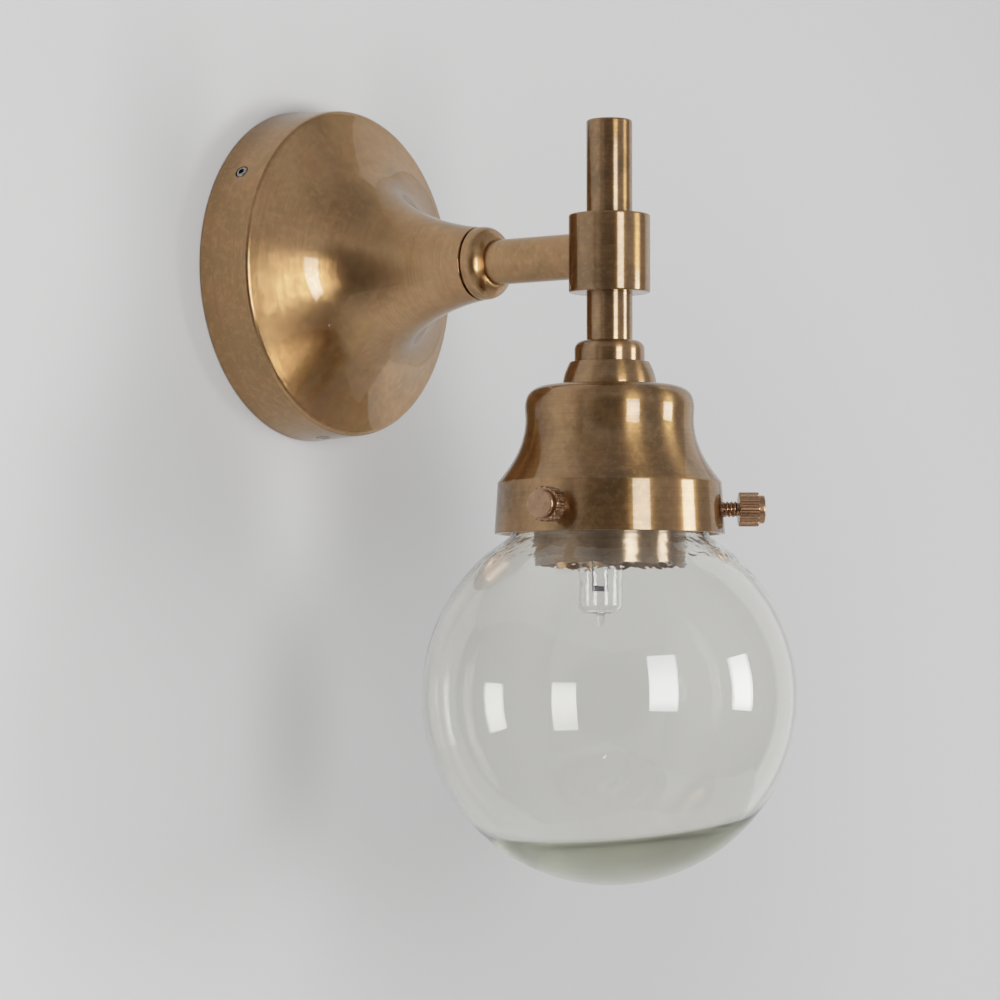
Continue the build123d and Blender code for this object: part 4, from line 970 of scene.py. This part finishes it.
def globe_grid(columns=300, shoulder_rows=9, neck_rows=12):
    """
    The glass from the outer pole up the ball, over the lip and down inside to the inner pole. Fillets
    take the place of the ball's last rows by the neck. Inside the neck is a low ridge,
    exp(-((height - its height) / width)^2). Below, the ball's surface is raised to the gathered base,
    a flatter sphere that leans to one side: the lift is (lift + sqrt(lift^2 + blend^2)) / 2.
    """
    cavity = globe_radius - globe_wall
    neck_inner = neck_radius - neck_wall
    shoulder_angle = np.pi - np.arcsin(neck_radius / globe_radius)
    outer_ball = ball_arc(globe_radius, 0, shoulder_angle, 150)
    lip_foot = (neck_radius, lip_top - lip_height, 0)
    joint = rounded([(*outer_ball[-shoulder_rows], 0), (*outer_ball[-1], neck_fillet), lip_foot], 12)[1:-1]
    inner_angle = np.pi - np.arcsin(neck_inner / cavity)
    inner_ball = ball_arc(cavity, inner_angle, 0, 150)
    lip = rounded(
        [
            lip_foot,
            (lip_radius, lip_top - lip_height, lip_edge),
            (lip_radius, lip_top, lip_edge),
            (neck_inner, lip_top, lip_inner_edge),
            (*inner_ball[0], neck_fillet + neck_wall),
            (*inner_ball[neck_rows], 0.0),
        ],
        12,
    )[:-1]
    inner_ball = inner_ball[neck_rows:]
    ridge = np.exp(-(((inner_ball[:, 1] - neck_ridge) / ridge_width) ** 2))[:, None]
    inner_ball = inner_ball - ridge * ridge_height * (inner_ball - (0, ball_centre)) / cavity
    section = np.concatenate([outer_ball[:-shoulder_rows], joint, lip, inner_ball])
    grid = turned(section, lamp_centre, 2, columns)
    base_centre = np.array((0, lamp_y, ball_centre - globe_radius + globe_base + base_flatness))
    hinge = np.array((0, lamp_y, ball_centre))
    base_centre = hinge + turned_about(base_lean_axis, -base_lean, base_centre - hinge)
    inside = grid[-len(inner_ball) :]
    across = ((inside - base_centre)[..., :2] ** 2).sum(axis=-1)
    base = base_centre[2] - np.sqrt(base_flatness**2 - across)
    lift = base - inside[..., 2]
    lift = np.where(inside[..., 2] < ball_centre, 0.5 * (lift + np.sqrt(lift**2 + base_blend**2)), 0)
    fade = np.clip((ball_centre - inside[..., 2]) / base_fade, 0, 1)
    inside[..., 2] += lift * fade
    inside[-1] = inside[-1].mean(axis=0)
    return grid


def blown_glass(foot=-191.5, foot_end=-184.5, waves_start=-112.0, waves_end=-97.0):
    """
    Clear glass with a faint green that only its thickness shows. Its surfaces carry slow waves from
    the blowing, which grow towards the neck, and its foot is slightly rough. These heights are in
    millimetres. Lamp light passes straight through, so that it doesn't throw a solid shadow.
    """
    material, wire = new_material("blown_glass")
    place = wire.node("TexCoord", {}, {}, output="Object")
    height = wire.node("SeparateXYZ", {}, {"Vector": place}, output="Z")
    neck_waves = height.between(waves_start * MM, waves_end * MM) * place.noise(330, 1) * 6.5
    waves = place.noise(55, 1) + place.noise(16, 1) * 3.0 + neck_waves
    bump = wire.node("Bump", {}, {"Strength": 1.0, "Distance": 1.2e-5, "Height": waves})
    glass = wire.node(
        "BsdfPrincipled",
        {},
        {
            "Base Color": (0.966, 0.962, 0.942, 1),
            "Roughness": (1 - height.between(foot * MM, foot_end * MM)) * 0.16,
            "IOR": 1.5,
            "Transmission Weight": 1.0,
            "Normal": bump,
        },
    )
    clear = wire.node("BsdfTransparent", {}, {"Color": (0.80, 0.80, 0.80, 1)})
    shadow = wire.node("LightPath", {}, {}, output="Is Shadow Ray")
    surface = wire.node("MixShader", {}, {0: shadow, 1: glass, 2: clear})
    depth = wire.node("VolumeAbsorption", {}, {"Color": (0.80, 0.81, 0.73, 1), "Density": 46.0})
    wire.node("OutputMaterial", {}, {"Surface": surface, "Volume": depth})
    return material


globe = skin("glass_globe_skin", globe_grid())
place_piece(globe, blown_glass(), "clear_glass", "root", "glass_globe")

# The wall's own light would gather into bright specks through the glass, so it passes by.
globe.visible_diffuse = False

# ---------------------------------------------------------------- lampholder cup
# A brass cup turned over inside the glass neck. It hides the lampholder, and its rim is a plain
# cut edge that catches the light.

cup_low, cup_high = (np.array(corner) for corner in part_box("lampholder_cup"))
cup_radius = (cup_high[0] - cup_low[0]) / 2
cup_sheet = 1.2 * MM
cup_edge = 3.0 * MM
cup_rim_edge = 0.3 * MM
cup_light = (0.34, 0.24, 0.155)
cup_dark = (0.23, 0.155, 0.095)

cup_section = rounded(
    [
        (nipple_hole, cup_high[2] - cup_sheet, 0),
        (nipple_hole, cup_high[2], 0),
        (cup_radius, cup_high[2], cup_edge),
        (cup_radius, cup_low[2], cup_rim_edge),
        (cup_radius - cup_sheet, cup_low[2], cup_rim_edge),
        (cup_radius - cup_sheet, cup_high[2] - cup_sheet, cup_edge - cup_sheet),
        (nipple_hole, cup_high[2] - cup_sheet, 0),
    ]
)[:-1]
cup_brass = aged_brass("aged_brass_cup", cup_light, cup_dark, 0.33, 0.5, anisotropy=0.95, grain=1.2)
cup = skin("lampholder_cup_skin", turned(cup_section, lamp_centre, 2, 300), ring=True)
place_piece(cup, cup_brass, "aged_brass", "root", "lampholder_cup")

# ---------------------------------------------------------------- fixings and lampholder
# What the lamp holds inside: zinc-plated steel, plain brass nipples and nuts, a nylon terminal
# block, a rubber grommet and a glazed ceramic lampholder. They keep the shapes of their solids.


def plain_finish(name, colour, metallic, roughness, spread, grain):
    """
    A plain finish: one colour, which a fine noise darkens by up to the spread, and a roughness that
    follows the same noise.
    """
    material, wire = new_material(name)
    place = wire.node("TexCoord", {}, {}, output="Object")
    mottle = place.noise(grain, 4, 0.6)
    shade = tuple(level * (1 - spread) for level in colour)
    bump = wire.node("Bump", {}, {"Strength": 0.3, "Distance": 2e-5, "Height": mottle})
    surface = wire.node(
        "BsdfPrincipled",
        {},
        {
            "Base Color": mottle.between(0.35, 0.65).tint((*colour, 1), (*shade, 1)),
            "Metallic": metallic,
            "Roughness": roughness + (mottle - 0.5) * 0.2,
            "Normal": bump,
        },
    )
    wire.node("OutputMaterial", {}, {"Surface": surface})
    return material


# Each finish: colour, metallic, roughness, spread and grain.
plain_finishes = {
    "zinc_steel": ((0.62, 0.62, 0.60), 1.0, 0.32, 0.18, 260),
    "bare_brass": ((0.70, 0.52, 0.24), 1.0, 0.28, 0.20, 300),
    "green_screw": ((0.08, 0.32, 0.12), 0.6, 0.35, 0.25, 400),
    "dark_steel": ((0.42, 0.41, 0.39), 1.0, 0.30, 0.35, 900),
    "contact_metal": ((0.68, 0.66, 0.60), 1.0, 0.25, 0.15, 500),
    "tungsten": ((0.20, 0.20, 0.21), 1.0, 0.35, 0.30, 900),
    "white_nylon": ((0.86, 0.85, 0.80), 0.0, 0.45, 0.05, 200),
    "white_ceramic": ((0.90, 0.89, 0.85), 0.0, 0.22, 0.05, 160),
    "black_rubber": ((0.03, 0.03, 0.03), 0.0, 0.60, 0.30, 500),
}
finishes = {name: plain_finish(name, *values) for name, values in plain_finishes.items()}
slot_of = {part["node"]: part["material_slot"] for part in frame["record"]["subparts"]}
for node, solid in frame["nodes"].items():
    if slot_of[node] in finishes:
        solid.data.materials.clear()
        solid.data.materials.append(finishes[slot_of[node]])

# ---------------------------------------------------------------- capsule lamp
# A low-voltage capsule of clear quartz: a straight bulb with a rounded end and a pip where it was
# sealed, a flat pinch with two wire loops, and a coiled filament between two lead wires.


def clear_quartz():
    """Clear quartz with a slow ripple in its drawn wall. Lamp light passes straight through."""
    material, wire = new_material("clear_quartz")
    place = wire.node("TexCoord", {}, {}, output="Object")
    bump = wire.node("Bump", {}, {"Strength": 1.0, "Distance": 1.1e-4, "Height": place.noise(240, 2)})
    glass = wire.node(
        "BsdfPrincipled",
        {},
        {
            "Base Color": (0.99, 0.99, 0.99, 1),
            "Roughness": 0.0,
            "IOR": 1.46,
            "Transmission Weight": 1.0,
            "Normal": bump,
        },
    )
    clear = wire.node("BsdfTransparent", {}, {"Color": (0.95, 0.95, 0.95, 1)})
    shadow = wire.node("LightPath", {}, {}, output="Is Shadow Ray")
    surface = wire.node("MixShader", {}, {0: shadow, 1: glass, 2: clear})
    wire.node("OutputMaterial", {}, {"Surface": surface})
    return material


quartz = clear_quartz()
for node in ("bulb_capsule", "bulb_pinch"):
    solid = frame["nodes"][node]
    solid.data.materials.clear()
    solid.data.materials.append(quartz)
